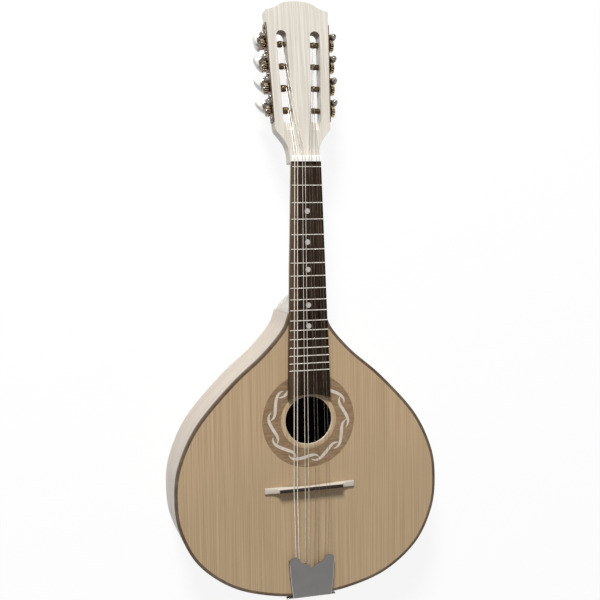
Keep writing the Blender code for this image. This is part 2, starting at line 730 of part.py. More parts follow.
def make_plate(side, frame):
    sign = side_sign(side)
    middle = -HEAD_THICKNESS / 2
    low = screw_places()[3] - 4.0 * MM
    high = screw_places()[-1] + 4.0 * MM
    half = PLATE_HEIGHT / 2
    corner = 1.5 * MM
    loop = [
        (low + corner, -half),
        (high - corner, -half),
        (high, -half + corner),
        (high, half - corner),
        (high - corner, half),
        (low + corner, half),
        (low, half - corner),
        (low, -half + corner)]
    loops = [loop]
    for number in (1, 2, 3, 4):
        centre = (roller_place(number), 0.0)
        loops.append(circle(ROLLER_RADIUS + RUNNING_FIT, 10, centre))
    mesh = plate_mesh("tuner_plate", loops, CLOSE_FIT, CLOSE_FIT + PLATE_THICKNESS)
    stand = Matrix(((0, 0, sign, 0), (1, 0, 0, 0), (0, 1, 0, middle), (0, 0, 0, 1)))
    mesh.transform(stand)
    bm = bmesh.new()
    bm.from_mesh(mesh)
    plate = add_part("tuner_plate_" + side, bm_to_mesh(bm, "tuner_plate"), STEEL, frame)
    ears = []
    reach = WHEEL_CENTRE_OUT + SHAFT_RADIUS + 1.6 * MM
    for number in (1, 2, 3, 4):
        y = roller_place(number) + WORM_DISTANCE
        wide = SHAFT_RADIUS + 1.6 * MM
        start = CLOSE_FIT + PLATE_THICKNESS / 2
        tab = [
            (sign * start, y - wide),
            (sign * (reach - 1.2 * MM), y - wide),
            (sign * reach, y - wide + 1.2 * MM),
            (sign * reach, y + wide - 1.2 * MM),
            (sign * (reach - 1.2 * MM), y + wide),
            (sign * start, y + wide)]
        hole = circle(SHAFT_RADIUS + RUNNING_FIT, 8, (sign * WHEEL_CENTRE_OUT, y))
        inner = WORM_LENGTH / 2 + GAP
        for base in (inner, -inner - EAR_THICKNESS):
            tab_mesh = plate_mesh("ear", [tab, hole], middle + base, middle + base + EAR_THICKNESS)
            ears.append((tab_mesh, Matrix()))
    boolean(plate, joined_mesh("ears", ears), "UNION")


def worm_mesh(name):
    steps = 8
    root = WORM_RADIUS - TOOTH_HEIGHT - 0.15 * MM
    tip = WORM_RADIUS + TOOTH_HEIGHT
    half_pitch = TOOTH_PITCH / 2
    flank = math.tan(math.radians(20))
    half_tooth = half_pitch / 2 - MESH_BACKLASH / 2
    tip_half = half_tooth - TOOTH_HEIGHT * flank
    root_half = half_tooth + (TOOTH_HEIGHT + 0.15 * MM) * flank
    levels = [(-root_half, root), (-tip_half, tip), (tip_half, tip), (root_half, root)]
    turns = 3
    start = -(turns + 1) * TOOTH_PITCH / 2
    phase = math.pi / 2
    bm = bmesh.new()
    rows = []
    for j in range(turns * 4):
        turn, level = divmod(j, 4)
        offset, radius = levels[level]
        row = []
        for i in range(steps):
            angle = phase + 2 * math.pi * i / steps
            z = start + (turn + 0.5 + i / steps) * TOOTH_PITCH + offset
            row.append(bm.verts.new((radius * math.cos(angle), radius * math.sin(angle), z)))
        rows.append(row)
    for j in range(len(rows) - 1):
        for i in range(steps - 1):
            bm.faces.new((rows[j][i], rows[j][i + 1], rows[j + 1][i + 1], rows[j + 1][i]))
    for j in range(len(rows) - 5):
        bm.faces.new((rows[j][steps - 1], rows[j + 4][0], rows[j + 5][0], rows[j + 1][steps - 1]))
    half = WORM_LENGTH / 2

    def ring(radius, z):
        made = []
        for i in range(steps):
            angle = phase + 2 * math.pi * i / steps
            made.append(bm.verts.new((radius * math.cos(angle), radius * math.sin(angle), z)))
        return made

    def bridge(one, two):
        for i in range(steps):
            k = (i + 1) % steps
            bm.faces.new((one[i], one[k], two[k], two[i]))

    low = ring(root, -half)
    high = ring(root, half)
    first = rows[0]
    for i in range(steps - 1):
        bm.faces.new((low[i], low[i + 1], first[i + 1], first[i]))
    bm.faces.new((low[steps - 1], low[0], rows[4][0], first[steps - 1]))
    bm.faces.new((low[0], rows[0][0], rows[1][0], rows[2][0], rows[3][0], rows[4][0]))
    end = rows[-1]
    for i in range(steps - 1):
        bm.faces.new((end[i], end[i + 1], high[i + 1], high[i]))
    last = len(rows) - 1
    bm.faces.new((rows[last - 4][steps - 1], rows[last][0], high[0], high[steps - 1],
                  rows[last][steps - 1], rows[last - 1][steps - 1], rows[last - 2][steps - 1],
                  rows[last - 3][steps - 1]))
    ear = WORM_LENGTH / 2 + GAP + EAR_THICKNESS
    ball = SHAFT_KNOB_RADIUS
    upper = [(SHAFT_RADIUS, half), (SHAFT_RADIUS, ear + 0.3 * MM)]
    for degrees in (-45, 0, 45):
        angle = math.radians(degrees)
        upper.append((ball * math.cos(angle), ear + 0.3 * MM + ball * (0.9 + math.sin(angle))))
    upper.append((0.5 * MM, ear + 0.3 * MM + ball * 1.9))
    current = high
    for radius, z in upper:
        following = ring(radius, z)
        bridge(current, following)
        current = following
    bm.faces.new(current)
    lower = [
        (SHAFT_RADIUS, -half),
        (SHAFT_RADIUS, -ear - 0.3 * MM),
        (SHAFT_RADIUS + 0.6 * MM, -ear - 0.3 * MM),
        (SHAFT_RADIUS + 0.6 * MM, -ear - 1.3 * MM),
        (SHAFT_RADIUS - 0.1 * MM, -ear - 1.3 * MM),
        (SHAFT_RADIUS - 0.1 * MM, -BUTTON_CENTRE + 1.0 * MM)]
    current = low
    for radius, z in lower:
        following = ring(radius, z)
        bridge(following, current)
        current = following
    bm.faces.new(current)
    return bm_to_mesh(bm, name)


def wheel_mesh(name):
    root = WHEEL_RADIUS - TOOTH_HEIGHT - 0.15 * MM
    tip = WHEEL_RADIUS + TOOTH_HEIGHT
    flank = math.tan(math.radians(20))
    half_tooth = TOOTH_PITCH / 4 - MESH_BACKLASH / 2
    tip_half = half_tooth - TOOTH_HEIGHT * flank
    root_half = half_tooth + (TOOTH_HEIGHT + 0.15 * MM) * flank * 0.8
    loop = []
    for k in range(WHEEL_TEETH):
        centre = 2 * math.pi * (k + 0.5) / WHEEL_TEETH
        for radius, half in ((root, -root_half), (tip, -tip_half), (tip, tip_half), (root, root_half)):
            angle = centre + half / radius
            loop.append((radius * math.cos(angle), radius * math.sin(angle)))
    bore = circle(ROLLER_SPIGOT_RADIUS + CLOSE_FIT, 8)
    half_width = WHEEL_WIDTH / 2
    mesh = plate_mesh(name, [loop, bore], -half_width, half_width)
    lead = TOOTH_PITCH / (2 * math.pi * WORM_RADIUS)
    for vertex in mesh.vertices:
        turn = vertex.co.z * lead / WHEEL_RADIUS
        vertex.co = Matrix.Rotation(turn, 3, "Z") @ vertex.co
    return mesh


def button_mesh(name):
    count = 10
    length = BUTTON_LENGTH
    wide = BUTTON_WIDTH / 2
    thick = BUTTON_THICKNESS / 2
    bore = SHAFT_RADIUS - 0.1 * MM + CLOSE_FIT
    top = length / 2

    def ring(half_x, half_y, z):
        points = []
        for i in range(count):
            angle = 2 * math.pi * i / count
            points.append((half_x * math.cos(angle), half_y * math.sin(angle), z))
        return points

    rings = [
        ring(bore, bore, top - 7.2 * MM),
        ring(bore, bore, top),
        ring(0.95 * thick, 0.95 * thick, top),
        ring(0.95 * thick, 0.95 * thick, top - 2.2 * MM),
        ring(0.66 * wide, thick, top - 3.0 * MM),
        ring(wide, thick, top - 6.4 * MM),
        ring(0.94 * wide, thick, -top + 3.4 * MM),
        ring(0.72 * wide, 0.85 * thick, -top + 1.0 * MM),
        ring(0.40 * wide, 0.50 * thick, -top)]
    return loft_mesh(name, rings)


def make_machine(side, number, frame):
    sign = side_sign(side)
    name = "tuner_%s_%d_" % (side, number)
    middle = -HEAD_THICKNESS / 2
    out = sign * WHEEL_CENTRE_OUT
    y = roller_place(number)
    worm_place = Matrix.Translation((out, y + WORM_DISTANCE, middle))
    add_part(name + "worm", worm_mesh(name + "worm"), STEEL, frame, worm_place, smooth=True)
    button_place = Matrix.Translation((out, y + WORM_DISTANCE, middle - BUTTON_CENTRE))
    turn = Matrix.Rotation(math.radians(BUTTON_TURNS[side][number - 1]) * sign, 4, "Z")
    add_part(
        name + "button", button_mesh(name + "button"), BUTTON_LOOK, frame,
        button_place @ turn, smooth=True)

    # the wheel's own axis is its Z, turned here to the roller's axis
    lay = Matrix(((0, 0, 1, 0), (1, 0, 0, 0), (0, 1, 0, 0), (0, 0, 0, 1)))
    wheel_place = Matrix.Translation((out, y, middle)) @ lay
    face = Matrix.Identity(4)
    if sign < 0:
        face = Matrix.Rotation(math.pi, 4, "X")
    add_part(name + "wheel", wheel_mesh(name + "wheel"), BRASS, frame, wheel_place, smooth=True)

    spigot = ROLLER_SPIGOT_RADIUS
    edge = -WHEEL_CENTRE_OUT
    outer_end = WHEEL_WIDTH / 2 - 0.1 * MM
    collar_end = -WHEEL_WIDTH / 2 - CLOSE_FIT
    slot_inner = edge - SLOT_FROM_EDGE - SLOT_WIDTH
    profile = [
        (0.0, outer_end),
        (spigot, outer_end),
        (spigot, collar_end),
        (ROLLER_RADIUS, collar_end),
        (ROLLER_RADIUS, slot_inner + 0.6 * MM),
        (spigot, slot_inner + 0.6 * MM),
        (spigot, slot_inner - 4.6 * MM),
        (0.0, slot_inner - 4.6 * MM)]
    roller = turned_mesh(name + "roller", profile, 8)
    add_part(name + "roller", roller, STEEL, frame, wheel_place @ face, smooth=True)


# Bridge, tailpiece and strings
def make_bridge():
    place = Matrix.Translation((0, 0.8 * MM, 0)) @ Matrix.Rotation(BRIDGE_SLANT, 4, "Z")
    frame = add_empty("bridge_frame", ROOT, place)
    half = BRIDGE_LENGTH / 2
    saddle_half = SADDLE_LENGTH / 2
    seat = BRIDGE_HEIGHT - SADDLE_HEIGHT - CLOSE_FIT
    wing = 2.4 * MM
    foot = BRIDGE_FOOT_WIDTH / 2
    crest = SADDLE_WIDTH / 2 + 0.15 * MM
    spots = [
        (-half, 0.94, wing * 0.85),
        (-half + 1.5 * MM, 1.0, wing),
        (-saddle_half - 6 * MM, 1.0, wing * 1.25),
        (-saddle_half - 2.0 * MM, 1.0, wing * 1.9),
        (-saddle_half - 0.05 * MM, 1.0, seat),
        (0.0, 1.0, seat),
        (saddle_half + 0.05 * MM, 1.0, seat),
        (saddle_half + 2.0 * MM, 1.0, wing * 1.9),
        (saddle_half + 6 * MM, 1.0, wing * 1.25),
        (half - 1.5 * MM, 1.0, wing),
        (half, 0.94, wing * 0.85)]
    rings = []
    for x, spread, height in spots:
        width = foot * spread
        rise = min(1.0, height / seat)
        top = width + (crest - width) * rise
        rings.append([
            (x, -width, GAP),
            (x, width, GAP),
            (x, (width + top) / 2 + 0.25 * MM, GAP + (height - GAP) * 0.55),
            (x, top, height),
            (x, -top, height),
            (x, -(width + top) / 2 - 0.25 * MM, GAP + (height - GAP) * 0.55)])
    bridge = add_part("bridge", loft_mesh("bridge", rings), WOOD_PALE, frame, smooth=False)
    arch = []
    for i in range(9):
        share = -1 + i / 4
        arch.append((saddle_half * 0.86 * share, BRIDGE_ARCH_RISE * (1 - share * share) + GAP))
    arch = [(arch[0][0], -1 * MM)] + arch + [(arch[-1][0], -1 * MM)]
    mesh = plate_mesh("bridge_arch", [arch], -20 * MM, 20 * MM)
    mesh.transform(Matrix.Rotation(math.pi / 2, 4, "X"))
    boolean(bridge, mesh)

    profile = [
        (-SADDLE_WIDTH / 2, 0.0),
        (SADDLE_WIDTH / 2, 0.0),
        (SADDLE_WIDTH / 2, SADDLE_HEIGHT - 0.5 * MM),
        (SADDLE_WIDTH / 4, SADDLE_HEIGHT),
        (-SADDLE_WIDTH / 4, SADDLE_HEIGHT),
        (-SADDLE_WIDTH / 2, SADDLE_HEIGHT - 0.5 * MM)]
    mesh = plate_mesh("bridge_saddle", [profile], -saddle_half, saddle_half)
    stand = Matrix(((0, 0, 1, 0), (1, 0, 0, 0), (0, 1, 0, 0), (0, 0, 0, 1)))
    mesh.transform(stand)
    place = Matrix.Translation((0, 0, BRIDGE_HEIGHT - SADDLE_HEIGHT))
    add_part("bridge_saddle", mesh, WOOD_DARK, frame, place, smooth=False)


TAIL_FACE = -BRIDGE_TO_TAIL - GAP


def make_tailpiece():
    half = TAIL_COVER_WIDTH / 2 - TAIL_SHEET - GAP
    low = 0.4 * half
    front = TAIL_FACE + TAIL_COVER_LENGTH - 14 * MM
    tongue = box_mesh(
        "tongue", (-half + 3 * MM, TAIL_FACE - TAIL_BASE_SHEET, GAP), (half - 3 * MM, front, GAP + TAIL_BASE_SHEET))
    base = add_part("tailpiece_base", tongue, STEEL, ROOT)
    hanging = [
        (-half - 3.5 * MM, 1.2 * MM),
        (-half - 3.5 * MM, -3.2 * MM),
        (-half + 2 * MM, -6 * MM),
        (-half + 6 * MM, -20 * MM),
        (-low, -30 * MM),
        (low, -30 * MM),
        (half - 6 * MM, -20 * MM),
        (half - 2 * MM, -6 * MM),
        (half + 3.5 * MM, -3.2 * MM),
        (half + 3.5 * MM, 1.2 * MM)]
    mesh = plate_mesh("apron", [hanging], -TAIL_FACE, -TAIL_FACE + TAIL_BASE_SHEET)
    mesh.transform(Matrix.Rotation(math.pi / 2, 4, "X"))
    added = [(mesh, Matrix())]
    for _, _, _, _, x, _, _, _, _ in STRINGS:
        hook = box_mesh(
            "hook",
            (x * MM - 0.8 * MM, hook_line() - 2.0 * MM, GAP + TAIL_BASE_SHEET / 2),
            (x * MM + 0.8 * MM, hook_line() - GAP, GAP + TAIL_BASE_SHEET + 2.3 * MM))
        added.append((hook, Matrix()))
    boolean(base, joined_mesh("apron_and_hooks", added), "UNION")

    top = TAIL_COVER_HEIGHT
    width = TAIL_COVER_WIDTH / 2
    far = TAIL_FACE + 1.2 * MM
    near = far + TAIL_COVER_LENGTH + 2.3 * MM
    right = [
        (0.86 * width, far),
        (0.91 * width, far + 10 * MM),
        (0.955 * width, far + 19 * MM),
        (0.98 * width, far + 27 * MM),
        (1.00 * width, far + 35 * MM),
        (1.00 * width, near - 3.4 * MM),
        (0.95 * width, near - 1.2 * MM),
        (0.83 * width, near - 0.1 * MM),
        (0.71 * width, near - 0.1 * MM),
        (0.60 * width, near - 1.6 * MM),
        (0.53 * width, near - 4.2 * MM),
        (0.46 * width, near - 6.4 * MM),
        (0.31 * width, near - 7.4 * MM),
        (0.18 * width, near - 8.8 * MM),
        (0.08 * width, near - 10.9 * MM),
        (0.0, near - 13.0 * MM)]
    loop = right + [(-x, y) for x, y in reversed(right[:-1])]
    cover = add_part(
        "tailpiece_cover",
        plate_mesh("tailpiece_cover", [loop], top - TAIL_SHEET, top), CHROME, ROOT)
    walls = []
    for sign in (-1, 1):
        outer = [(sign * x, y) for x, y in right[:6]]
        inner = [(sign * (x - TAIL_SHEET), y) for x, y in right[:6]]
        wall = plate_mesh("wall", [outer + inner[::-1]], 1.6 * MM, top - TAIL_SHEET / 2)
        walls.append((wall, Matrix()))
    boolean(cover, joined_mesh("cover_walls", walls), "UNION")


def hook_line():
    return TAIL_FACE + 17.5 * MM


def string_points(entry):
    _, _, nut_x, saddle_x, tail_x, radius, side, number, reach = entry
    sign = side_sign(side)
    size = radius * MM
    slope = math.tan(BRIDGE_SLANT)
    saddle_y = 0.8 * MM + saddle_x * MM * slope
    height = nut_string_height(radius)
    hook = Vector((tail_x * MM, hook_line(), GAP + TAIL_BASE_SHEET + CLOSE_FIT + size + 0.4 * MM))
    saddle = Vector((saddle_x * MM, saddle_y, BRIDGE_HEIGHT + CLOSE_FIT + size))
    spread = (nut_x - saddle_x) * MM / (SCALE_LENGTH - saddle_y)
    zero = Vector((nut_x * MM - spread * BOARD_PAST_ZERO_FRET, SCALE_LENGTH, height))
    nut_front = Vector((nut_x * MM, BOARD_HEAD_END + CLOSE_FIT + 1 * MM, height))
    nut_back = Vector((nut_x * MM, BOARD_HEAD_END + CLOSE_FIT + NUT_THICKNESS - 0.6 * MM, height))
    across = -sign * (SLOT_FROM_EDGE + SLOT_WIDTH - reach * MM)
    local = Vector((
        across,
        roller_place(number) - 0.35 * ROLLER_RADIUS,
        -HEAD_THICKNESS / 2 + ROLLER_RADIUS + size + 2 * CLOSE_FIT))
    end = head_matrix() @ side_matrix(side) @ local
    return [hook, saddle, zero, nut_front, nut_back, end]


def make_strings():
    for entry in STRINGS:
        look = STRING_BRIGHT if entry[1] == "wound" else STRING_STEEL
        name = entry[0]
        curve = bpy.data.curves.new(name, "CURVE")
        curve.dimensions = "3D"
        curve.bevel_depth = entry[5] * MM
        curve.bevel_resolution = 1
        curve.use_fill_caps = True
        spline = curve.splines.new("POLY")
        points = string_points(entry)
        spline.points.add(len(points) - 1)
        for spot, place in zip(spline.points, points):
            spot.co = (*place, 1)
        obj = bpy.data.objects.new("string_line", curve)
        CUTTERS.objects.link(obj)
        mesh = object_mesh(obj)
        bm = bmesh.new()
        bm.from_mesh(mesh)
        add_part(name, bm_to_mesh(bm, name), look, ROOT, smooth=True)


make_body()
make_inside()
make_neck()
make_fingerboard()
make_head()
make_nut()
make_bridge()
make_tailpiece()
make_strings()
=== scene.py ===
import math

import bmesh
import bpy
from mathutils import Matrix, Vector


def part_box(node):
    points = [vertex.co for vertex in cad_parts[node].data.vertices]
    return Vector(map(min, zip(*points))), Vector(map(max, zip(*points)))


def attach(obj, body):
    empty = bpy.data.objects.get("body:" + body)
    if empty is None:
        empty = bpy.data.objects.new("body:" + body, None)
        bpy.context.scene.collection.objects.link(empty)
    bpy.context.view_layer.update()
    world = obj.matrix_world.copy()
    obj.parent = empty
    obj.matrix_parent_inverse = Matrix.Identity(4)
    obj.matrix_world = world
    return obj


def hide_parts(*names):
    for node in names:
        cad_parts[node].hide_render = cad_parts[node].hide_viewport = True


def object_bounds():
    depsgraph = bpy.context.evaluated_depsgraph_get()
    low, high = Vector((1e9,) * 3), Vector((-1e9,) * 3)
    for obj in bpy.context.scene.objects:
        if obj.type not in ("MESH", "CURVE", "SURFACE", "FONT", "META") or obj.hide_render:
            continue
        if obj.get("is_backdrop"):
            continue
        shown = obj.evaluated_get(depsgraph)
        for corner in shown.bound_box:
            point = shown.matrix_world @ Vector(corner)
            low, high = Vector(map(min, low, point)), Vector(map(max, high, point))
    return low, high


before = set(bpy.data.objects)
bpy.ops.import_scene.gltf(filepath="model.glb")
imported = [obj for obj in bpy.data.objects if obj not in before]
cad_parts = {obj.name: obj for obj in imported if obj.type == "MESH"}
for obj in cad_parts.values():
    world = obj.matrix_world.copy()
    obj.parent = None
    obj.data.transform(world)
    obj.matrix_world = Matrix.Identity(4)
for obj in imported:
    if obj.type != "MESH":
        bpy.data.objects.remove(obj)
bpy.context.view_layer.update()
mm = 0.001

# the frame every measure below is given in: x to the treble side, y from the
# bridge to the head, z up from the soundboard, all in millimetres
tailToBridge = 120.9
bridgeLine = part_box("sides")[0].y + tailToBridge * mm
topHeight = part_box("soundboard")[1].z
bodyFrame = Matrix.Translation((0, bridgeLine, topHeight)) @ Matrix.Scale(mm, 4)
headStart, headDrop, headTilt = 355.0, 1.7, math.radians(8)
headFrame = (bodyFrame @ Matrix.Translation((0, headStart, -headDrop))
             @ Matrix.Rotation(-headTilt, 4, "X"))
headEdge, headFlare = 29.3, math.radians(1.99)


# one side of the head, with x out from its edge and y along the edge
def sideFrame(sign):
    return (headFrame @ Matrix.Translation((sign * headEdge, 0, 0))
            @ Matrix.Rotation(-sign * headFlare, 4, "Z"))


print("frame loaded")


def nodeGroup(name, inputs, outputs):
    group = bpy.data.node_groups.new(name, "ShaderNodeTree")
    for label, kind, value in inputs:
        socket = group.interface.new_socket(name=label, in_out="INPUT", socket_type="NodeSocket" + kind)
        if value is not None:
            socket.default_value = value
    for label, kind in outputs:
        group.interface.new_socket(name=label, in_out="OUTPUT", socket_type="NodeSocket" + kind)
    return group, group.nodes.new("NodeGroupInput"), group.nodes.new("NodeGroupOutput")


def addNode(tree, kind, settings=None, values=None):
    node = tree.nodes.new("ShaderNode" + kind)
    for key, value in (settings or {}).items():
        setattr(node, key, value)
    for key, value in (values or {}).items():
        node.inputs[key].default_value = value
    return node


def join(tree, source, output, target, socket):
    tree.links.new(source.outputs[output], target.inputs[socket])


# a node that works on two outputs
def mathNode(tree, kind, operation, one, two):
    node = addNode(tree, kind, {"operation": operation})
    for socket, (source, output) in enumerate((one, two)):
        join(tree, source, output, node, socket)
    return node


# spreads an output from one range to another
def spreadNode(tree, source, output, low, high, toLow=0.0, toHigh=1.0):
    node = addNode(tree, "MapRange", None, {
        "From Min": low, "From Max": high, "To Min": toLow, "To Max": toHigh})
    join(tree, source, output, node, "Value")
    return node


def noiseNode(tree, source, output, scale, detail, roughness=0.5, distortion=0.0):
    node = addNode(tree, "TexNoise", None, {
        "Scale": scale, "Detail": detail, "Roughness": roughness, "Distortion": distortion})
    join(tree, source, output, node, "Vector")
    return node


# long fibres: the stretch is high across the grain and low along it
def makeGrainGroup():
    group, start, end = nodeGroup(
        "woodGrain",
        [("Vector", "Vector", None), ("Stretch", "Vector", (600, 12, 600)), ("Wander", "Float", 0.6)],
        [("Lines", "Float"), ("Pores", "Float"), ("Tone", "Float"), ("Height", "Float")])
    stretched = mathNode(group, "VectorMath", "MULTIPLY", (start, "Vector"), (start, "Stretch"))
    slow = noiseNode(group, start, "Vector", 14.0, 2.0)
    push = addNode(group, "VectorMath", {"operation": "SCALE"})
    join(group, slow, "Color", push, 0)
    join(group, start, "Wander", push, "Scale")
    moved = mathNode(group, "VectorMath", "ADD", (stretched, 0), (push, 0))
    fibres = noiseNode(group, moved, 0, 1.0, 3.0, 0.55)
    lines = spreadNode(group, fibres, "Fac", 0.34, 0.66)
    finer = addNode(group, "VectorMath", {"operation": "SCALE"}, {"Scale": 3.7})
    join(group, moved, 0, finer, 0)
    specks = noiseNode(group, finer, 0, 1.0, 2.0, 0.7)
    pores = spreadNode(group, specks, "Fac", 0.56, 0.70)
    tone = noiseNode(group, start, "Vector", 9.0, 1.5)
    height = mathNode(group, "Math", "SUBTRACT", (lines, 0), (pores, 0))
    for node, output, label in ((lines, 0, "Lines"), (pores, 0, "Pores"),
                                (tone, "Fac", "Tone"), (height, 0, "Height")):
        join(group, node, output, end, label)
    return group


# handling marks: soft smudges, and short fine scratches
def makeWearGroup():
    group, start, end = nodeGroup(
        "handlingWear",
        [("Vector", "Vector", None), ("Smudge Scale", "Float", 60.0),
         ("Scratch Stretch", "Vector", (900, 60, 900))],
        [("Smudge", "Float"), ("Scratch", "Float")])
    smudge = noiseNode(group, start, "Vector", 5.0, 5.0, 0.6, 0.6)
    join(group, start, "Smudge Scale", smudge, "Scale")
    stretched = mathNode(group, "VectorMath", "MULTIPLY", (start, "Vector"), (start, "Scratch Stretch"))
    scratch = noiseNode(group, stretched, 0, 1.0, 4.0, 0.7)
    cut = spreadNode(group, scratch, "Fac", 0.60, 0.78)
    join(group, smudge, "Fac", end, "Smudge")
    join(group, cut, 0, end, "Scratch")
    return group


grainGroup = makeGrainGroup()
wearGroup = makeWearGroup()


def newMaterial(name):
    material = bpy.data.materials.new(name)
    material.use_nodes = True
    tree = material.node_tree
    return tree, tree.nodes["Principled BSDF"], tree.nodes.new("ShaderNodeTexCoord")


def useGroup(tree, group, place, values):
    node = tree.nodes.new("ShaderNodeGroup")
    node.node_tree = group
    join(tree, place, "Object", node, "Vector")
    for key, value in values.items():
        node.inputs[key].default_value = value
    return node


def mixColors(tree, factor, output, first, second):
    mix = addNode(tree, "Mix", {"data_type": "RGBA"})
    join(tree, factor, output, mix, 0)
    for socket, value in ((6, first), (7, second)):
        if isinstance(value, tuple):
            mix.inputs[socket].default_value = (*value, 1.0)
        else:
            tree.links.new(value, mix.inputs[socket])
    return mix.outputs[2]


# two tones that change over in soft clouds
def cloudColour(tree, wear, first, second):
    spread = spreadNode(tree, wear, "Smudge", 0.35, 0.65)
    return mixColors(tree, spread, 0, first, second)


def finishShader(tree, shader, colour, rough, relief, output, strength, distance):
    tree.links.new(colour, shader.inputs["Base Color"])
    join(tree, rough, 0, shader, "Roughness")
    bump = addNode(tree, "Bump", None, {"Strength": strength, "Distance": distance})
    join(tree, relief, output, bump, "Height")
    join(tree, bump, "Normal", shader, "Normal")


# a wood: pale, dark and pore colours, the grain's stretch, and how shiny it is
def woodMaterial(name, look):
    tree, shader, place = newMaterial(name)
    grain = useGroup(tree, grainGroup, place, {"Stretch": look["stretch"], "Wander": look.get("wander", 0.6)})
    wear = useGroup(tree, wearGroup, place, {"Smudge Scale": 45.0})
    body = mixColors(tree, grain, "Lines", look["pale"], look["dark"])
    change = look.get("tone", 0.06)
    toned = spreadNode(tree, grain, "Tone", 0.3, 0.7, 1 - change, 1 + change)
    tint = addNode(tree, "VectorMath", {"operation": "SCALE"})
    tree.links.new(body, tint.inputs[0])
    join(tree, toned, 0, tint, "Scale")
    share = addNode(tree, "Math", {"operation": "MULTIPLY"}, {1: look.get("poreShare", 0.3)})
    join(tree, grain, "Pores", share, 0)
    colour = mixColors(tree, share, 0, tint.outputs[0], look["pore"])
    # the lighter strip along one side is a painted sheen
    if "paintedSheen" in look:  # a paler strip along one edge: where it starts, where it is full, its colour
        first, full, tone = look["paintedSheen"]
        apart = tree.nodes.new("ShaderNodeSeparateXYZ")
        join(tree, place, "Object", apart, 0)
        side = spreadNode(tree, apart, "X", first, full)
        side.interpolation_type = "SMOOTHSTEP"
        faded = spreadNode(tree, grain, "Lines", 0.0, 1.0, 1.0, 0.45)
        grained = mathNode(tree, "Math", "MULTIPLY", (side, 0), (faded, 0))
        colour = mixColors(tree, grained, 0, colour, tone)
    rough = spreadNode(tree, wear, "Smudge", 0.3, 0.7, look["rough"] - 0.06, look["rough"] + 0.08)
    finishShader(tree, shader, colour, rough, grain, "Height", look.get("bump", 0.08), 0.0002)
    shader.inputs["Specular IOR Level"].default_value = look.get("specular", 0.3)
    shader.inputs["Coat Weight"].default_value = look.get("coat", 0.0)
    shader.inputs["Coat Roughness"].default_value = 0.25


# a metal: two tones, and grime with painted shade, darker the deeper a groove lies
def metalMaterial(name, look):
    tree, shader, place = newMaterial(name)
    wear = useGroup(tree, wearGroup, place, {
        "Smudge Scale": look.get("smudge", 160.0), "Scratch Stretch": (1400, 90, 1400)})
    colour = cloudColour(tree, wear, look["bright"], look["dull"])
    if "grimeAndShade" in look:
        groove = addNode(tree, "Attribute", {"attribute_name": "groove"})
        colour = mixColors(tree, groove, "Fac", colour, look["grimeAndShade"])
    rough = spreadNode(tree, wear, "Smudge", 0.3, 0.7, look["rough"] - 0.05, look["rough"] + 0.10)
    finishShader(tree, shader, colour, rough, wear, "Scratch", look.get("bump", 0.15), 0.00005)
    shader.inputs["Metallic"].default_value = 1.0


# windings of a wound string: fine ridges along its run
def woundMaterial(name, look):
    tree, shader, place = newMaterial(name)
    wear = useGroup(tree, wearGroup, place, {"Smudge Scale": 220.0})
    ridges = addNode(tree, "TexWave", {"bands_direction": "Y"}, {
        "Scale": look["ridges"], "Distortion": 0.0})
    join(tree, place, "Object", ridges, "Vector")
    colour = cloudColour(tree, wear, look["bright"], look["dull"])
    rough = spreadNode(tree, wear, "Smudge", 0.0, 1.0, look["rough"], look["rough"] + 0.15)
    finishShader(tree, shader, colour, rough, ridges, "Fac", 0.3, 0.0001)
    shader.inputs["Metallic"].default_value = 1.0


# bone, pearl and the buttons
def plasticMaterial(name, look):
    tree, shader, place = newMaterial(name)
    wear = useGroup(tree, wearGroup, place, {"Smudge Scale": look.get("cloud", 120.0)})
    colour = cloudColour(tree, wear, look["light"], look["shade"])
    rough = spreadNode(tree, wear, "Scratch", 0.0, 1.0, look["rough"], look["rough"] + 0.12)
    finishShader(tree, shader, colour, rough, wear, "Scratch", 0.08, 0.00005)
    shader.inputs["Coat Weight"].default_value = look.get("coat", 0.0)
    shader.inputs["Coat Roughness"].default_value = 0.08


woodMaterial("spruceTop", {
    "pale": (0.53, 0.39, 0.241), "dark": (0.386, 0.271, 0.157), "pore": (0.3, 0.205, 0.115),
    "stretch": (1350, 6, 60), "wander": 0.3, "rough": 0.52, "bump": 0.1, "tone": 0.03, "specular": 0.25})
woodMaterial("maplePale", {
    "pale": (0.68, 0.652, 0.59), "dark": (0.532, 0.493, 0.428), "pore": (0.41, 0.355, 0.29),
    "poreShare": 0.35, "stretch": (680, 9, 70), "rough": 0.4, "bump": 0.06, "tone": 0.03, "coat": 0.15})
# the sides' maple is darker and pinker than the back's: partly its own tone, partly painted shade on the
# flanks
woodMaterial("mapleSides", {
    "pale": (0.568, 0.496, 0.42), "dark": (0.47, 0.404, 0.334), "pore": (0.36, 0.3, 0.24),
    "stretch": (8, 8, 300), "rough": 0.4, "bump": 0.05, "tone": 0.04, "coat": 0.15})
# the slots' round upper ends: darker for the end grain, and darker still as painted shade
woodMaterial("endMaple", {
    "pale": (0.4, 0.335, 0.28), "dark": (0.315, 0.257, 0.21), "pore": (0.2, 0.16, 0.125), "poreShare": 0.6,
    "stretch": (500, 120, 500), "rough": 0.6, "bump": 0.1, "specular": 0.2})
woodMaterial("bridgeMaple", {
    "pale": (0.63, 0.58, 0.5), "dark": (0.54, 0.487, 0.41), "pore": (0.4, 0.34, 0.27),
    "stretch": (15, 500, 500), "rough": 0.45})
woodMaterial("bindingWood", {
    "pale": (0.152, 0.11, 0.075), "dark": (0.086, 0.058, 0.038), "pore": (0.045, 0.029, 0.018),
    "poreShare": 0.5, "stretch": (60, 60, 900), "rough": 0.48, "specular": 0.2})
woodMaterial("rosetteWood", {
    "pale": (0.31, 0.208, 0.117), "dark": (0.215, 0.138, 0.074), "pore": (0.15, 0.095, 0.052),
    "poreShare": 0.5, "stretch": (90, 420, 90), "wander": 1.2, "rough": 0.5, "tone": 0.09, "specular": 0.25})
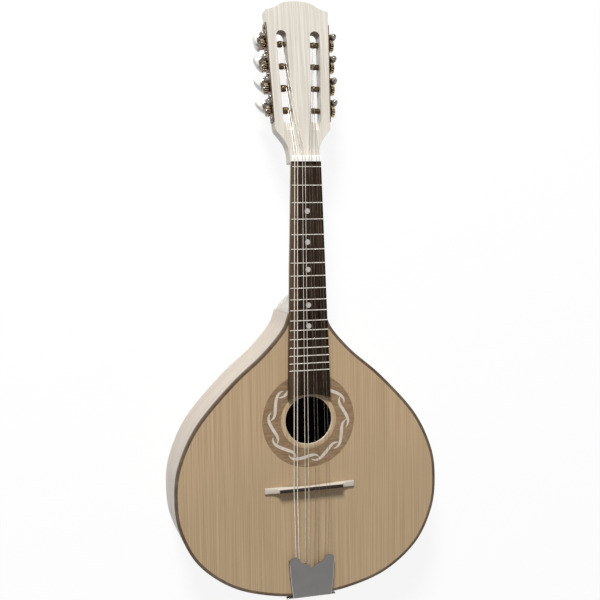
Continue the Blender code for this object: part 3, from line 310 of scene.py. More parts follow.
woodMaterial("ringWood", {
    "pale": (0.535, 0.395, 0.248), "dark": (0.435, 0.308, 0.182), "pore": (0.36, 0.25, 0.145),
    "stretch": (420, 12, 60), "rough": 0.5, "specular": 0.25})
# the sound hole's inner wall is pale: a painted highlight where the edge catches the light
woodMaterial("holeEdgeWood", {
    "pale": (0.8, 0.73, 0.62), "dark": (0.7, 0.62, 0.51), "pore": (0.5, 0.42, 0.33), "poreShare": 0.2,
    "stretch": (60, 60, 700), "rough": 0.45, "bump": 0.05})
# the board turns paler towards its bass edge: a painted sheen
woodMaterial("boardWood", {
    "pale": (0.046, 0.03, 0.019), "dark": (0.01, 0.006, 0.004), "pore": (0.006, 0.004, 0.003),
    "poreShare": 0.9, "stretch": (700, 20, 700), "wander": 1.0, "rough": 0.52, "bump": 0.35, "tone": 0.16,
    "specular": 0.03, "paintedSheen": (-0.0095, -0.0155, (0.128, 0.081, 0.048))})
woodMaterial("capWood", {
    "pale": (0.036, 0.024, 0.017), "dark": (0.014, 0.01, 0.008), "pore": (0.006, 0.005, 0.004),
    "poreShare": 1.0, "stretch": (20, 900, 900), "rough": 0.46, "bump": 0.25, "specular": 0.15})
woodMaterial("innerWood", {
    "pale": (0.55, 0.42, 0.28), "dark": (0.46, 0.34, 0.22), "pore": (0.36, 0.25, 0.15), "poreShare": 0.5,
    "stretch": (300, 14, 300), "rough": 0.75, "bump": 0.25, "specular": 0.2})
# near black for the inside of the body: painted shade for the dark inside the closed box
woodMaterial("insideWood", {
    "pale": (0.036, 0.026, 0.018), "dark": (0.024, 0.017, 0.012), "pore": (0.012, 0.009, 0.007),
    "poreShare": 0.5, "stretch": (300, 14, 300), "rough": 0.8, "bump": 0.2, "specular": 0.1})
metalMaterial("plateSteel", {
    "bright": (0.26, 0.19, 0.125), "dull": (0.03, 0.021, 0.014), "rough": 0.28, "smudge": 520.0})
metalMaterial("shaftSteel", {
    "bright": (0.4, 0.375, 0.34), "dull": (0.035, 0.028, 0.024), "rough": 0.15, "smudge": 520.0,
    "grimeAndShade": (0.012, 0.009, 0.007)})
metalMaterial("gearBrass", {
    "bright": (1.0, 0.8, 0.54), "dull": (0.26, 0.165, 0.085), "rough": 0.2, "smudge": 420.0,
    "grimeAndShade": (0.014, 0.009, 0.006)})
metalMaterial("coilBronze", {
    "bright": (0.34, 0.235, 0.13), "dull": (0.05, 0.032, 0.018), "rough": 0.28, "smudge": 520.0})
metalMaterial("rollerSteel", {
    "bright": (0.165, 0.115, 0.072), "dull": (0.01, 0.008, 0.006), "rough": 0.26, "smudge": 380.0})
metalMaterial("coverMetal", {
    "bright": (0.192, 0.187, 0.181), "dull": (0.17, 0.165, 0.16), "rough": 0.22, "smudge": 26.0,
    "bump": 0.05})
# pale metal for the cover's edge bevels: a painted highlight
metalMaterial("coverEdge", {
    "bright": (0.8, 0.775, 0.74), "dull": (0.62, 0.59, 0.55), "rough": 0.16, "smudge": 90.0})
metalMaterial("fretNickel", {
    "bright": (0.9, 0.86, 0.79), "dull": (0.72, 0.675, 0.6), "rough": 0.25})
metalMaterial("plainSteel", {
    "bright": (0.27, 0.235, 0.195), "dull": (0.1, 0.082, 0.066), "rough": 0.28})
woundMaterial("woundWire", {
    "bright": (0.84, 0.79, 0.72), "dull": (0.6, 0.54, 0.475), "rough": 0.3, "ridges": 620.0})
woundMaterial("fineWoundWire", {
    "bright": (0.8, 0.74, 0.655), "dull": (0.54, 0.475, 0.405), "rough": 0.3, "ridges": 820.0})
plasticMaterial("boneWhite", {
    "light": (0.93, 0.92, 0.89), "shade": (0.87, 0.855, 0.82), "rough": 0.32})
plasticMaterial("buttonWhite", {
    "light": (0.72, 0.7, 0.66), "shade": (0.56, 0.53, 0.49), "rough": 0.16, "coat": 0.6})
plasticMaterial("pearlInlay", {
    "light": (0.67, 0.59, 0.505), "shade": (0.54, 0.47, 0.395), "rough": 0.24, "coat": 0.2, "cloud": 260.0})
plasticMaterial("pearlDot", {
    "light": (0.56, 0.53, 0.52), "shade": (0.4, 0.375, 0.365), "rough": 0.24, "coat": 0.2, "cloud": 420.0})
print("materials made")


def placeMesh(bm, matrix):
    bmesh.ops.transform(bm, matrix=matrix, verts=bm.verts)


def meshFrom(name, bm):
    mesh = bpy.data.meshes.new(name)
    bm.to_mesh(mesh)
    bm.free()
    return mesh


def newObject(name, data):
    thing = bpy.data.objects.new(name, data)
    bpy.context.scene.collection.objects.link(thing)
    return thing


# the mesh of an object after its modifiers, or of a curve
def bakedMesh(thing):
    bpy.context.view_layer.update()
    return bpy.data.meshes.new_from_object(thing.evaluated_get(bpy.context.evaluated_depsgraph_get()))


def addCopy(bm, other, matrix):
    placeMesh(other, matrix)
    spare = meshFrom("spare", other)
    bm.from_mesh(spare)
    bpy.data.meshes.remove(spare)


def softenEdges(bm, width, segments=2, angle=28):
    limit = math.radians(angle)
    edges = [e for e in bm.edges if len(e.link_faces) == 2 and e.calc_face_angle(0) > limit]
    bmesh.ops.bevel(
        bm, geom=edges, offset=width, offset_type="OFFSET", segments=segments, profile=0.5,
        affect="EDGES", clamp_overlap=True, material=-1)


# second: another finish, and which faces have it
def newPiece(name, bm, finish, stands, sharp=35, second=None, body="instrument"):
    bmesh.ops.remove_doubles(bm, verts=bm.verts, dist=1e-7)
    bmesh.ops.recalc_face_normals(bm, faces=bm.faces)
    mesh = meshFrom(name, bm)
    mesh.materials.append(bpy.data.materials[finish])
    if second:
        mesh.materials.append(bpy.data.materials[second[0]])
        for face in mesh.polygons:
            face.material_index = 1 if second[1](face) else 0
    mesh.shade_smooth()
    mesh.set_sharp_from_angle(angle=math.radians(sharp))
    piece = newObject(name, mesh)
    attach(piece, body)
    if stands:
        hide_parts(*stands)
    return piece


# a piece that is shown as its solid
def paintNode(name, finish):
    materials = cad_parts[name].data.materials
    materials.clear()
    materials.append(bpy.data.materials[finish])


def loopOf(bm, points, height=0.0):
    verts = [bm.verts.new((p[0], p[1], p[2] if len(p) > 2 else height)) for p in points]
    return [bm.edges.new((verts[i - 1], verts[i])) for i in range(len(verts))]


def raiseFaces(bm, faces, height):
    grown = bmesh.ops.extrude_face_region(bm, geom=faces)
    tops = [v for v in grown["geom"] if isinstance(v, bmesh.types.BMVert)]
    bmesh.ops.translate(bm, verts=tops, vec=(0, 0, height))
    bmesh.ops.recalc_face_normals(bm, faces=bm.faces)


# a flat plate with the first loop as its rim and the others as holes
def plateShape(bm, loops, low, high):
    before = set(bm.faces)
    edges = [edge for loop in loops for edge in loopOf(bm, loop, low)]
    if len(loops) == 1:
        bmesh.ops.contextual_create(bm, geom=edges)
    else:
        bmesh.ops.triangle_fill(bm, edges=edges, use_beauty=True)
    raiseFaces(bm, [f for f in bm.faces if f not in before], high - low)


# a closed band between two loops of the same number of points
def bandShape(bm, outer, inner, low, high):
    outerEdges, innerEdges = loopOf(bm, outer, low), loopOf(bm, inner, low)
    raiseFaces(bm, bmesh.ops.bridge_loops(bm, edges=outerEdges + innerEdges)["faces"], high - low)


def loftShape(bm, rows):
    loops = [loopOf(bm, row) for row in rows]
    for one, two in zip(loops, loops[1:]):
        bmesh.ops.bridge_loops(bm, edges=one + two)
    bmesh.ops.contextual_create(bm, geom=loops[0])
    bmesh.ops.contextual_create(bm, geom=loops[-1])
    bmesh.ops.recalc_face_normals(bm, faces=bm.faces)


def turnedShape(bm, profile, steps=32):
    verts = [bm.verts.new((r, 0, z)) for r, z in profile]
    edges = [bm.edges.new(pair) for pair in zip(verts, verts[1:])]
    bmesh.ops.spin(
        bm, geom=edges, cent=(0, 0, 0), axis=(0, 0, 1), dvec=(0, 0, 0), angle=2 * math.pi,
        steps=steps, use_merge=True, use_duplicate=False)
    bmesh.ops.remove_doubles(bm, verts=bm.verts, dist=1e-4)
    bmesh.ops.recalc_face_normals(bm, faces=bm.faces)


# a copy of a solid, with softer edges
def softCopy(nodeName, width=0.0, segments=2, angle=40):
    bm = bmesh.new()
    bm.from_mesh(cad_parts[nodeName].data)
    bmesh.ops.remove_doubles(bm, verts=bm.verts, dist=1e-6)
    bmesh.ops.dissolve_limit(bm, angle_limit=math.radians(1.5), verts=bm.verts, edges=bm.edges)
    if width:
        softenEdges(bm, width * mm, segments, angle)
    return bm


def circlePoints(radius, count, centre=(0.0, 0.0)):
    turns = [2 * math.pi * i / count for i in range(count)]
    return [(centre[0] + radius * math.cos(a), centre[1] + radius * math.sin(a)) for a in turns]


def flowLine(points, steps, first=None, last=None):
    points = [Vector(p) for p in points]
    before = Vector(first) if first else 2 * points[0] - points[1]
    after = Vector(last) if last else 2 * points[-1] - points[-2]
    padded = [before] + points + [after]
    dense = []
    for k in range(len(points) - 1):
        p0, p1, p2, p3 = padded[k:k + 4]
        for i in range(steps):
            t = i / steps
            dense.append((2 * p1 + (p2 - p0) * t + (2 * p0 - 5 * p1 + 4 * p2 - p3) * t * t
                          + (3 * p1 - p0 - 3 * p2 + p3) * t ** 3) / 2)
    dense.append(points[-1])
    return dense


def inset(loop, distance):
    result = []
    for i, point in enumerate(loop):
        here = Vector(point)
        one = (here - Vector(loop[i - 1])).normalized()
        two = (Vector(loop[(i + 1) % len(loop)]) - here).normalized()
        normalOne, normalTwo = Vector((-one.y, one.x)), Vector((-two.y, two.x))
        middle = (normalOne + normalTwo).normalized()
        result.append(tuple(here + middle * distance / max(0.3, middle.dot(normalOne))))
    return result


bodyForm = {
    "halfWidth": 148.86, "tail": -120.88, "neckEnd": 193.0, "depth": 66.0, "steps": 14,
    "stations": [(0.0, 0.0), (0.295, 0.012), (0.595, 0.058), (0.84, 0.15), (0.97, 0.27), (1.0, 0.389),
                 (0.965, 0.5), (0.83, 0.63), (0.57, 0.767), (0.34, 0.862), (0.19, 0.942), (0.138, 1.0)],
    "binding": 3.2, "bindingDeep": 5.0, "bindingRound": 0.45, "sideWall": 2.4, "topThick": 2.8,
    "backThick": 2.8, "backRound": 0.9, "joint": 0.02}
# each brace's line, and its reach to both sides
braces = {"top": [(117.5, 73), (37.1, 131), (-54.4, 128)], "back": [(100.3, 88), (0.0, 138), (-72.5, 116)],
          "high": 10.0, "endHigh": 2.5, "foot": -1.0, "taper": 22, "half": 3.5, "round": 0.8}
hole = {"centre": (0.0, 75.3), "radius": 26.3, "ring": 31.5, "rosette": 52.2, "ringRound": 0.3,
        "ringProud": 0.02, "steps": 128}
backInside = bodyForm["backThick"] - bodyForm["depth"]


def bodyOutline():
    length = bodyForm["neckEnd"] - bodyForm["tail"]
    points = [(x * bodyForm["halfWidth"], bodyForm["tail"] + y * length) for x, y in bodyForm["stations"]]
    right = [(min(p.x, bodyForm["halfWidth"]), p.y) for p in
             flowLine(points, bodyForm["steps"], first=(-points[1][0], points[1][1]))]
    left = [(-x, y) for x, y in reversed(right)]
    return right + left[:-1]


def holeCircle(radius):
    return circlePoints(radius, hole["steps"], hole["centre"])


def braceShape(bm, y, reach, face, direction):
    foot, ends, crest = (face + direction * braces[key] for key in ("foot", "endHigh", "high"))
    flat = reach - braces["taper"]
    profile = [(-reach, foot), (reach, foot), (reach, ends), (flat, crest), (-flat, crest), (-reach, ends)]
    bar = bmesh.new()
    plateShape(bar, [profile], -braces["half"], braces["half"])
    softenEdges(bar, braces["round"])
    addCopy(bm, bar, Matrix.Translation((0, y, 0)) @ Matrix.Rotation(math.pi / 2, 4, "X"))


outline = bodyOutline()
bm = bmesh.new()
# the sides take the maple that is painted darker for the shade on the flanks
bandShape(bm, outline, inset(outline, bodyForm["sideWall"]), backInside, -bodyForm["bindingDeep"])
placeMesh(bm, bodyFrame)
newPiece("bodySides", bm, "mapleSides", ["sides"])

bm = bmesh.new()
bandShape(bm, outline, inset(outline, bodyForm["binding"]), -bodyForm["bindingDeep"], 0.0)
softenEdges(bm, bodyForm["bindingRound"], 3, 50)
placeMesh(bm, bodyFrame)
newPiece("edgeBinding", bm, "bindingWood", ["binding"])

bm = bmesh.new()
plateShape(bm, [inset(outline, bodyForm["binding"] + bodyForm["joint"]),
                holeCircle(hole["rosette"] + bodyForm["joint"])], -bodyForm["topThick"], 0.0)
for y, reach in braces["top"]:
    braceShape(bm, y, reach, -bodyForm["topThick"], -1)
placeMesh(bm, bodyFrame)
# faces below this height, the top's underside and its braces, are painted near black as shade
topUnder = topHeight - (bodyForm["topThick"] - 0.1) * mm
newPiece("topPlate", bm, "spruceTop", ["soundboard"],
         second=("insideWood", lambda face: face.center.z < topUnder))

bm = bmesh.new()
plateShape(bm, [outline], -bodyForm["depth"], backInside)
softenEdges(bm, bodyForm["backRound"], 3, 50)
for y, reach in braces["back"]:
    braceShape(bm, y, reach, backInside, 1)
placeMesh(bm, bodyFrame)
# faces above this height, the back's inner face and its braces, are painted near black as shade
backOver = topHeight + (backInside - 0.3) * mm
newPiece("backPlate", bm, "maplePale", ["back"],
         second=("insideWood", lambda face: face.center.z > backOver))

for name in ("top_lining", "back_lining", "neck_block", "tail_block"):
    paintNode(name, "innerWood")
print("body shell made")


bm = bmesh.new()
bandShape(bm, holeCircle(hole["rosette"]), holeCircle(hole["ring"]), -bodyForm["topThick"], 0.0)
placeMesh(bm, bodyFrame)
newPiece("rosetteBand", bm, "rosetteWood", ["rosette"])

bm = bmesh.new()
bandShape(bm, holeCircle(hole["ring"] - bodyForm["joint"]), holeCircle(hole["radius"]),
          -bodyForm["topThick"], hole["ringProud"])
softenEdges(bm, hole["ringRound"], 2, 50)
placeMesh(bm, bodyFrame)
ringCentre = bodyFrame @ Vector((*hole["centre"], 0))
ringInside = (hole["radius"] + 0.2) * mm
# the faces of the hole's inner wall take the pale finish, a painted highlight
newPiece("holeRing", bm, "ringWood", ["sound_hole_ring"],
         second=("holeEdgeWood", lambda face: (face.center - ringCentre).xy.length < ringInside))

# running scroll: each stroke hooks in at the outer side, crosses over and hooks out;
# its line is given in degrees round the hole and in distance from the hole's centre
scroll = {
    "count": 10, "first": -98.6, "wide": 1.75, "tips": 0.12, "swell": 1.05, "deep": 0.3, "proud": 0.05,
    "step": 0.004,  # every other stroke lies this much higher, where two cross
    "line": [(-24.2, 43.5), (-20.0, 45.1), (-15.0, 45.5), (-8.5, 44.1), (2.0, 41.0), (11.5, 39.2),
             (18.0, 39.5), (22.0, 41.3), (24.2, 43.3)]}
bm = bmesh.new()
for k in range(scroll["count"]):
    turn = scroll["first"] + k * 360 / scroll["count"]
    middle = []
    for point in flowLine(scroll["line"], 5):
        angle = math.radians(turn + point.x)
        middle.append(Vector(hole["centre"]) + point.y * Vector((math.cos(angle), math.sin(angle))))
    right, left = [], []
    for i in range(1, len(middle) - 1):
        along = (middle[i + 1] - middle[i - 1]).normalized()
        bulge = math.sin(math.pi * i / (len(middle) - 1)) ** scroll["swell"]
        wide = scroll["wide"] * (scroll["tips"] + (1 - scroll["tips"]) * bulge)
        across = Vector((-along.y, along.x)) * wide
        right.append(middle[i] - across)
        left.append(middle[i] + across)
    plateShape(bm, [[middle[0]] + right + [middle[-1]] + left[::-1]],
               -scroll["deep"], scroll["proud"] + scroll["step"] * (k % 2))
placeMesh(bm, bodyFrame)
newPiece("rosetteScroll", bm, "pearlInlay", ())
print("rosette made")


board = {"high": 5.3, "headEnd": 355.5, "lowEnd": 104.5, "sag": 4.6, "nutHalf": 16.2, "widening": 0.0298,
         "round": 0.35, "frets": 17, "scale": 350.0, "fretWide": 1.3, "fretHigh": 0.9, "fretIn": 0.25,
         "zeroFretHigher": 0.2, "dotRadius": 2.9, "dotProud": 0.04,
         "dots": {3: 0.2, 5: 0.2, 7: 0.3, 10: 0.4, 12: 0.9}}  # how far below the middle of its field


def boardHalf(y):
    return board["nutHalf"] + board["widening"] * (board["headEnd"] - y)


# each row: its line, how much wider than the board, how deep, how much narrower
# below, and how square it is
neckForm = {
    "rows": [(354.9, 0.0, 16.6, 0.0, 2.6), (343.0, 0.0, 15.0, 0.0, 2.3), (300.0, 0.0, 15.5, 0.0, 2.3),
             (235.0, 0.0, 16.5, 0.0, 2.3), (223.0, 0.0, 18.5, -2.0, 2.4), (217.0, 0.0, 23.0, -3.5, 2.6),
             (213.0, 0.0, 31.5, -6.0, 3.0), (210.0, 0.0, 49.1, -8.0, 3.4), (207.5, 0.0, 59.8, -8.5, 4.0),
             (203.0, 0.0, 62.4, -5.0, 5.0), (198.0, 0.0, 63.0, -1.5, 8.0), (193.05, 0.0, 63.0, -0.3, 12.0)],
    "steps": 14, "between": 4, "top": 0.28, "headGap": 0.1}


def neckRow(y, wider, depth, narrower, power):
    steps = neckForm["steps"]
    topHalf = boardHalf(y) + wider
    lowHalf = topHalf + narrower
    row = []
    for i in range(steps + 1):
        angle = math.pi / 2 * i / steps
        share = math.sin(angle) ** (2 / power)
        spread = lowHalf + (topHalf - lowHalf) * (1 - share)
        row.append((spread * max(0.0, math.cos(angle)) ** (2 / power), y, neckForm["top"] - depth * share))
    return row + [(-x, y, z) for x, y, z in reversed(row[:-1])]


bm = bmesh.new()
rows = [neckRow(*row) for row in flowLine(neckForm["rows"], neckForm["between"])]
slant = math.tan(headTilt)  # the neck ends on the slant of the head
rows[0] = [(x, y + neckForm["headGap"] + (z + headDrop) * slant, z) for x, y, z in rows[0]]
loftShape(bm, rows)
placeMesh(bm, bodyFrame)
newPiece("neckAndHeel", bm, "maplePale", ["neck"], 40)
print("neck made")


def fretPlace(number):
    return board["scale"] * 2 ** (-number / 12)


headHalf, lowHalf = boardHalf(board["headEnd"]), boardHalf(board["lowEnd"] - board["sag"])
loop = [(-headHalf, board["headEnd"]), (headHalf, board["headEnd"])]
for i in range(25):  # the low end is hollow, round the sound hole
    share = 1 - i / 12
    loop.append((lowHalf * share, board["lowEnd"] - board["sag"] * share * share))
bm = bmesh.new()
plateShape(bm, [loop], 0.0, board["high"])
softenEdges(bm, board["round"], 2, 40)
placeMesh(bm, bodyFrame)
newPiece("boardWithTaper", bm, "boardWood", ["fingerboard"])

bm = bmesh.new()
for number in range(board["frets"] + 1):
    y = fretPlace(number)
    long = 2 * (boardHalf(y) - board["fretIn"])
    bar = bmesh.ops.create_cone(bm, cap_ends=True, segments=20, radius1=1.0, radius2=1.0, depth=long)["verts"]
    high = board["fretHigh"] + (board["zeroFretHigher"] if number == 0 else 0.0)
    bmesh.ops.rotate(bm, verts=bar, cent=(0, 0, 0), matrix=Matrix.Rotation(math.pi / 2, 3, "Y"))
    bmesh.ops.scale(bm, verts=bar, vec=(1, board["fretWide"] / 2, high))
    bmesh.ops.translate(bm, verts=bar, vec=(0, y, board["high"]))
placeMesh(bm, bodyFrame)
newPiece("fretWires", bm, "fretNickel", (), 50)

bm = bmesh.new()
radius = board["dotRadius"]
for number, lower in board["dots"].items():
    y = (fretPlace(number) + fretPlace(number - 1)) / 2 - lower
    dot = bmesh.ops.create_cone(
        bm, cap_ends=True, segments=32, radius1=radius, radius2=radius, depth=1.0)["verts"]
    bmesh.ops.translate(bm, verts=dot, vec=(0, y, board["high"] + board["dotProud"] - 0.5))
placeMesh(bm, bodyFrame)
newPiece("positionDots", bm, "pearlDot", ())
paintNode("nut", "boneWhite")
print("fingerboard made")


headForm = {
    "thick": 15.0, "length": 176.0, "shoulder": 35.2, "crownHigh": 10.5, "round": 0.9,
    "slotFromEdge": 9.7, "slotWide": 11.2, "slotStart": 43.2, "slotEnd": 143.1,
    # half width and share of the shoulder's height, then the way in from the edge and up
    "lower": [(16.5, 0.0), (16.7, 0.26), (17.9, 0.46), (20.8, 0.65), (25.4, 0.825)],
    "crown": [(0, 0), (6, 1.6), (12, 4.2), (17, 7.4), (22, 9.2), (28, 10.1)]}


def edgeAt(s):
    return headEdge + s * math.tan(headFlare)


def headOutline():
    top, low = headForm["length"] - headForm["crownHigh"], headForm["shoulder"]
    lower = [(x, y * low) for x, y in headForm["lower"]] + [(edgeAt(low) - 1.4, low - 1.6)]
    crown = [(edgeAt(top) - x, top + y) for x, y in headForm["crown"]]
    beyond = (-crown[-1][0], crown[-1][1])
    crown.append((0.0, headForm["length"]))
    half = [tuple(p) for p in flowLine(lower, 5)] + [(edgeAt(low + 2), low + 1.2)]
    half += [tuple(p) for p in flowLine(crown, 4, last=beyond)]
    return half + [(-x, y) for x, y in reversed(half[:-1])]


def slotPoints(sign):
    centre, radius = -(headForm["slotFromEdge"] + headForm["slotWide"] / 2), headForm["slotWide"] / 2
    end = headForm["slotEnd"] - radius
    points = [(centre - radius, headForm["slotStart"]), (centre + radius, headForm["slotStart"])]
    for i in range(17):
        angle = math.pi * i / 16
        points.append((centre + radius * math.cos(angle), end + radius * math.sin(angle)))
    turn = Matrix.Translation((sign * headEdge, 0, 0)) @ Matrix.Rotation(-sign * headFlare, 4, "Z")
    return [tuple((turn @ Vector((sign * x, y, 0))).xy) for x, y in points]


# the round upper end of a slot shows end grain; its faces that turn towards the tail, away from the lamp, are
# also painted darker as shade
slotArch = {"from": 135.0, "to": 145.0, "half": 28.0, "deep": 6.4, "facing": -0.15}


def inSlotArch(place, normal):
    return (slotArch["from"] < place.y < slotArch["to"] and abs(place.x) < slotArch["half"]
            and abs(place.z + headForm["thick"] / 2) < slotArch["deep"]
            and normal.normalized().y < slotArch["facing"])


bm = bmesh.new()
plateShape(bm, [headOutline(), slotPoints(1), slotPoints(-1)], -headForm["thick"], 0.0)
softenEdges(bm, headForm["round"], 3, 40)
placeMesh(bm, headFrame)
headBack = headFrame.inverted()
head = newPiece("slottedHead", bm, "maplePale", ["headstock"], 40, second=(
    "endMaple", lambda face: inSlotArch(headBack @ face.center, headBack.to_3x3() @ face.normal)))

# a ramp at the foot of each slot lets the strings down to the rollers
ramp = {"start": 34.2, "end": 44.2, "deep": 5.5, "half": 3.6, "fromEdge": 15.4, "round": 0.8}
for sign in (1, -1):
    bm = bmesh.new()
    profile = [(ramp["start"], 0.0), (ramp["end"], -ramp["deep"]), (ramp["end"], 1.0), (ramp["start"], 1.0)]
    plateShape(bm, [profile], -ramp["half"], ramp["half"])
    softenEdges(bm, ramp["round"], 2, 40)
    stand = Matrix(((0, 0, 1, -sign * ramp["fromEdge"]), (1, 0, 0, 0), (0, 1, 0, 0), (0, 0, 0, 1)))
    placeMesh(bm, sideFrame(sign) @ stand)
    bmesh.ops.recalc_face_normals(bm, faces=bm.faces)
    cutter = newObject("rampCutter", meshFrom("rampCutter", bm))
    cut = head.modifiers.new("ramp", "BOOLEAN")
    cut.operation = "DIFFERENCE"
    cut.solver = "EXACT"
    cut.object = cutter
    carved = bakedMesh(head)
    head.modifiers.clear()
    head.data = carved
    bpy.data.objects.remove(cutter, do_unlink=True)
# the cuts leave long thin faces, so the two flat sides are shaded flat
flatFrom = 0.9999
head.data.set_sharp_from_angle(angle=math.radians(40))
for face in head.data.polygons:
    if abs((headBack.to_3x3() @ face.normal).z) > flatFrom:
        face.use_smooth = False
print("head made")


machine = {
    "rollers": {1: 129.8, 2: 105.6, 3: 81.4, 4: 57.2}, "out": 5.25, "wormAbove": 8.3, "middle": -7.5,
    "teeth": 14, "wheelRadius": 5.4, "wheelWide": 3.6, "wormRadius": 2.9, "tooth": 0.65, "slack": 0.2,
    "wormLong": 9.8, "threadTurns": 3, "threadSteps": 28, "shaft": 1.6, "ear": 1.0, "ball": 3.1,
    "flank": 20, "footClear": 0.15, "gap": 0.3, "lip": 0.1, "buttonDown": 20.5, "rollerRadius": 3.0,
    "spigot": 2.0, "spigotLong": 4.0,
    "buttonTurns": {"left": (80, 62, 48, 44), "right": (35, 62, 12, 75)}}
pitch = 2 * math.pi * machine["wheelRadius"] / machine["teeth"]
halfTooth = pitch / 4 - machine["slack"] / 2
toothFoot = machine["tooth"] + machine["footClear"]  # the foot of a tooth, below the pitch line
flank = math.tan(math.radians(machine["flank"]))


# how deep each point lies below the tips of the teeth, for the grime and painted shade in the grooves
def markGrooves(bm, tip, deep, reach):
    layer = bm.verts.layers.float.new("groove")
    for vert in bm.verts:
        if abs(vert.co.z) < reach:
            vert[layer] = min(1.0, max(0.0, (tip - vert.co.xy.length - 0.1) / deep))


# the worm and its shaft, from the round knob on top down into the button
def wormShape():
    bm = bmesh.new()
    root = machine["wormRadius"] - toothFoot
    half, shaft, ball = machine["wormLong"] / 2, machine["shaft"], machine["ball"]
    gap, lip = machine["gap"], machine["lip"]
    ear = half + gap + machine["ear"]
    bottom = 1 - machine["buttonDown"]
    collar, under, foot = shaft + 0.6, -ear - gap, -ear - gap - 1.0
    profile = [(0.0, ear + gap + ball * 1.93)]
    for degrees in (80, 65, 50, 35, 20, 5, -10, -25, -40, -52):
        angle = math.radians(degrees)
        profile.append((ball * math.cos(angle), ear + gap + ball * (0.95 + math.sin(angle))))
    profile += [(shaft, ear + gap + 0.05), (shaft, half + lip), (shaft + lip, half), (root, half - lip),
                (root, -half + lip), (shaft + lip, -half), (shaft, -half - lip), (shaft, under),
                (collar - lip, under), (collar, under - lip), (collar, foot + lip), (collar - lip, foot),
                (shaft - lip, foot), (shaft - lip, bottom), (0.0, bottom)]
    turnedShape(bm, profile)
    tip, deep = machine["wormRadius"] + machine["tooth"], machine["tooth"]
    turns, steps = machine["threadTurns"], machine["threadSteps"]
    corners = [(root - 0.1, -halfTooth - (deep + 0.25) * flank), (tip, -halfTooth + deep * flank),
               (tip, halfTooth - deep * flank), (root - 0.1, halfTooth + (deep + 0.25) * flank)]
    verts = [bm.verts.new((0, r, z - turns / 2 * pitch)) for r, z in corners]
    face = bm.faces.new(verts)
    bmesh.ops.spin(
        bm, geom=[face] + list(face.edges) + verts, cent=(0, 0, 0), axis=(0, 0, 1),
        dvec=(0, 0, pitch / steps), angle=turns * 2 * math.pi, steps=turns * steps, use_merge=False,
        use_duplicate=False)
    markGrooves(bm, tip, deep * 1.4, half)
    return bm


# the wheel's teeth are twisted to the lead of the worm
def wheelShape():
    bm = bmesh.new()
    root, tip = machine["wheelRadius"] - toothFoot, machine["wheelRadius"] + machine["tooth"]
    tipHalf, rootHalf = halfTooth - machine["tooth"] * flank, halfTooth + toothFoot * flank * 0.8
    loop = []
    for k in range(machine["teeth"]):
        centre = 2 * math.pi * (k + 0.5) / machine["teeth"]
        for radius, half in ((root, -rootHalf), (tip, -tipHalf), (tip, tipHalf), (root, rootHalf)):
            angle = centre + half / radius
            loop.append((radius * math.cos(angle), radius * math.sin(angle)))
    plateShape(bm, [loop], -machine["wheelWide"] / 2, machine["wheelWide"] / 2)
    softenEdges(bm, 0.12, 2, 60)
    lead = pitch / (2 * math.pi * machine["wormRadius"])
    for vert in bm.verts:
        vert.co = Matrix.Rotation(vert.co.z * lead / machine["wheelRadius"], 3, "Z") @ vert.co
    markGrooves(bm, tip, machine["tooth"] * 1.3, machine["wheelWide"])
    return bm


wheelScrew = {"radius": 2.6, "high": 1.3, "turn": 0.7, "turnStep": 1.0}
plateScrew = {"radius": 2.2, "high": 1.1, "turn": 0.4, "turnStep": 1.1, "out": 1.3, "below": 8.8,
              "top": 148.4}


# a slotted screw head that stands on z = 0
def screwShape(screw, number):
    radius, high = screw["radius"], screw["high"]
    top = bmesh.new()
    turnedShape(top, [(0.0, high), (radius * 0.55, high * 0.97), (radius * 0.86, high * 0.72),
                      (radius, high * 0.3), (radius, -0.4), (0.0, -0.4)], 28)
    slotHalf, slotDeep = radius * 0.13, high * 0.45
    for offset in (-slotHalf, slotHalf):
        bmesh.ops.bisect_plane(top, geom=top.verts[:] + top.edges[:] + top.faces[:],
                               plane_co=(0, offset, 0), plane_no=(0, 1, 0))
    for vert in top.verts:
        if abs(vert.co.y) < slotHalf * 0.96 and vert.co.z > high * 0.25:
            vert.co.z -= slotDeep
    placeMesh(top, Matrix.Rotation(screw["turn"] + number * screw["turnStep"], 4, "Z"))
    return top


# each row: its share of the width and of the thickness, and how far below the top
button = {"wide": 10.0, "thick": 3.3, "top": 6.5, "steps": 40,
          "rows": [(0.3, 0.95, 0.0), (0.3, 0.95, 1.6), (0.33, 0.92, 2.2), (0.52, 0.9, 2.7), (0.74, 0.95, 3.5),
                   (0.9, 1.0, 4.7), (0.98, 1.0, 6.2), (1.0, 1.0, 7.6), (0.97, 0.98, 9.2), (0.88, 0.92, 10.8),
                   (0.72, 0.78, 12.0), (0.48, 0.52, 12.75), (0.22, 0.26, 13.0)]}


def buttonShape():
    bm = bmesh.new()
    wide, thick, top = button["wide"], button["thick"], button["top"]
    turns = [2 * math.pi * i / button["steps"] for i in range(button["steps"])]
    loftShape(bm, [[(wide * x * math.cos(turn), thick * y * math.sin(turn), top - down) for turn in turns]
                   for x, y, down in button["rows"]])
    return bm


def rollerShape():
    bm = bmesh.new()
    big, small, face = machine["rollerRadius"], machine["spigot"], machine["wheelWide"] / 2
    collar, lip = -face - machine["lip"], 2 * machine["lip"]
    stop = 0.6 - machine["out"] - headForm["slotFromEdge"] - headForm["slotWide"]  # at the slot's inner wall
    end = stop - 1.2 - machine["spigotLong"]
    turnedShape(bm, [(0.0, face), (small, face), (small, collar), (big - lip, collar), (big, collar - lip),
                     (big, stop + lip), (big - lip, stop), (small, stop),
                     (small, end + lip), (small - lip, end), (0.0, end)])
    return bm


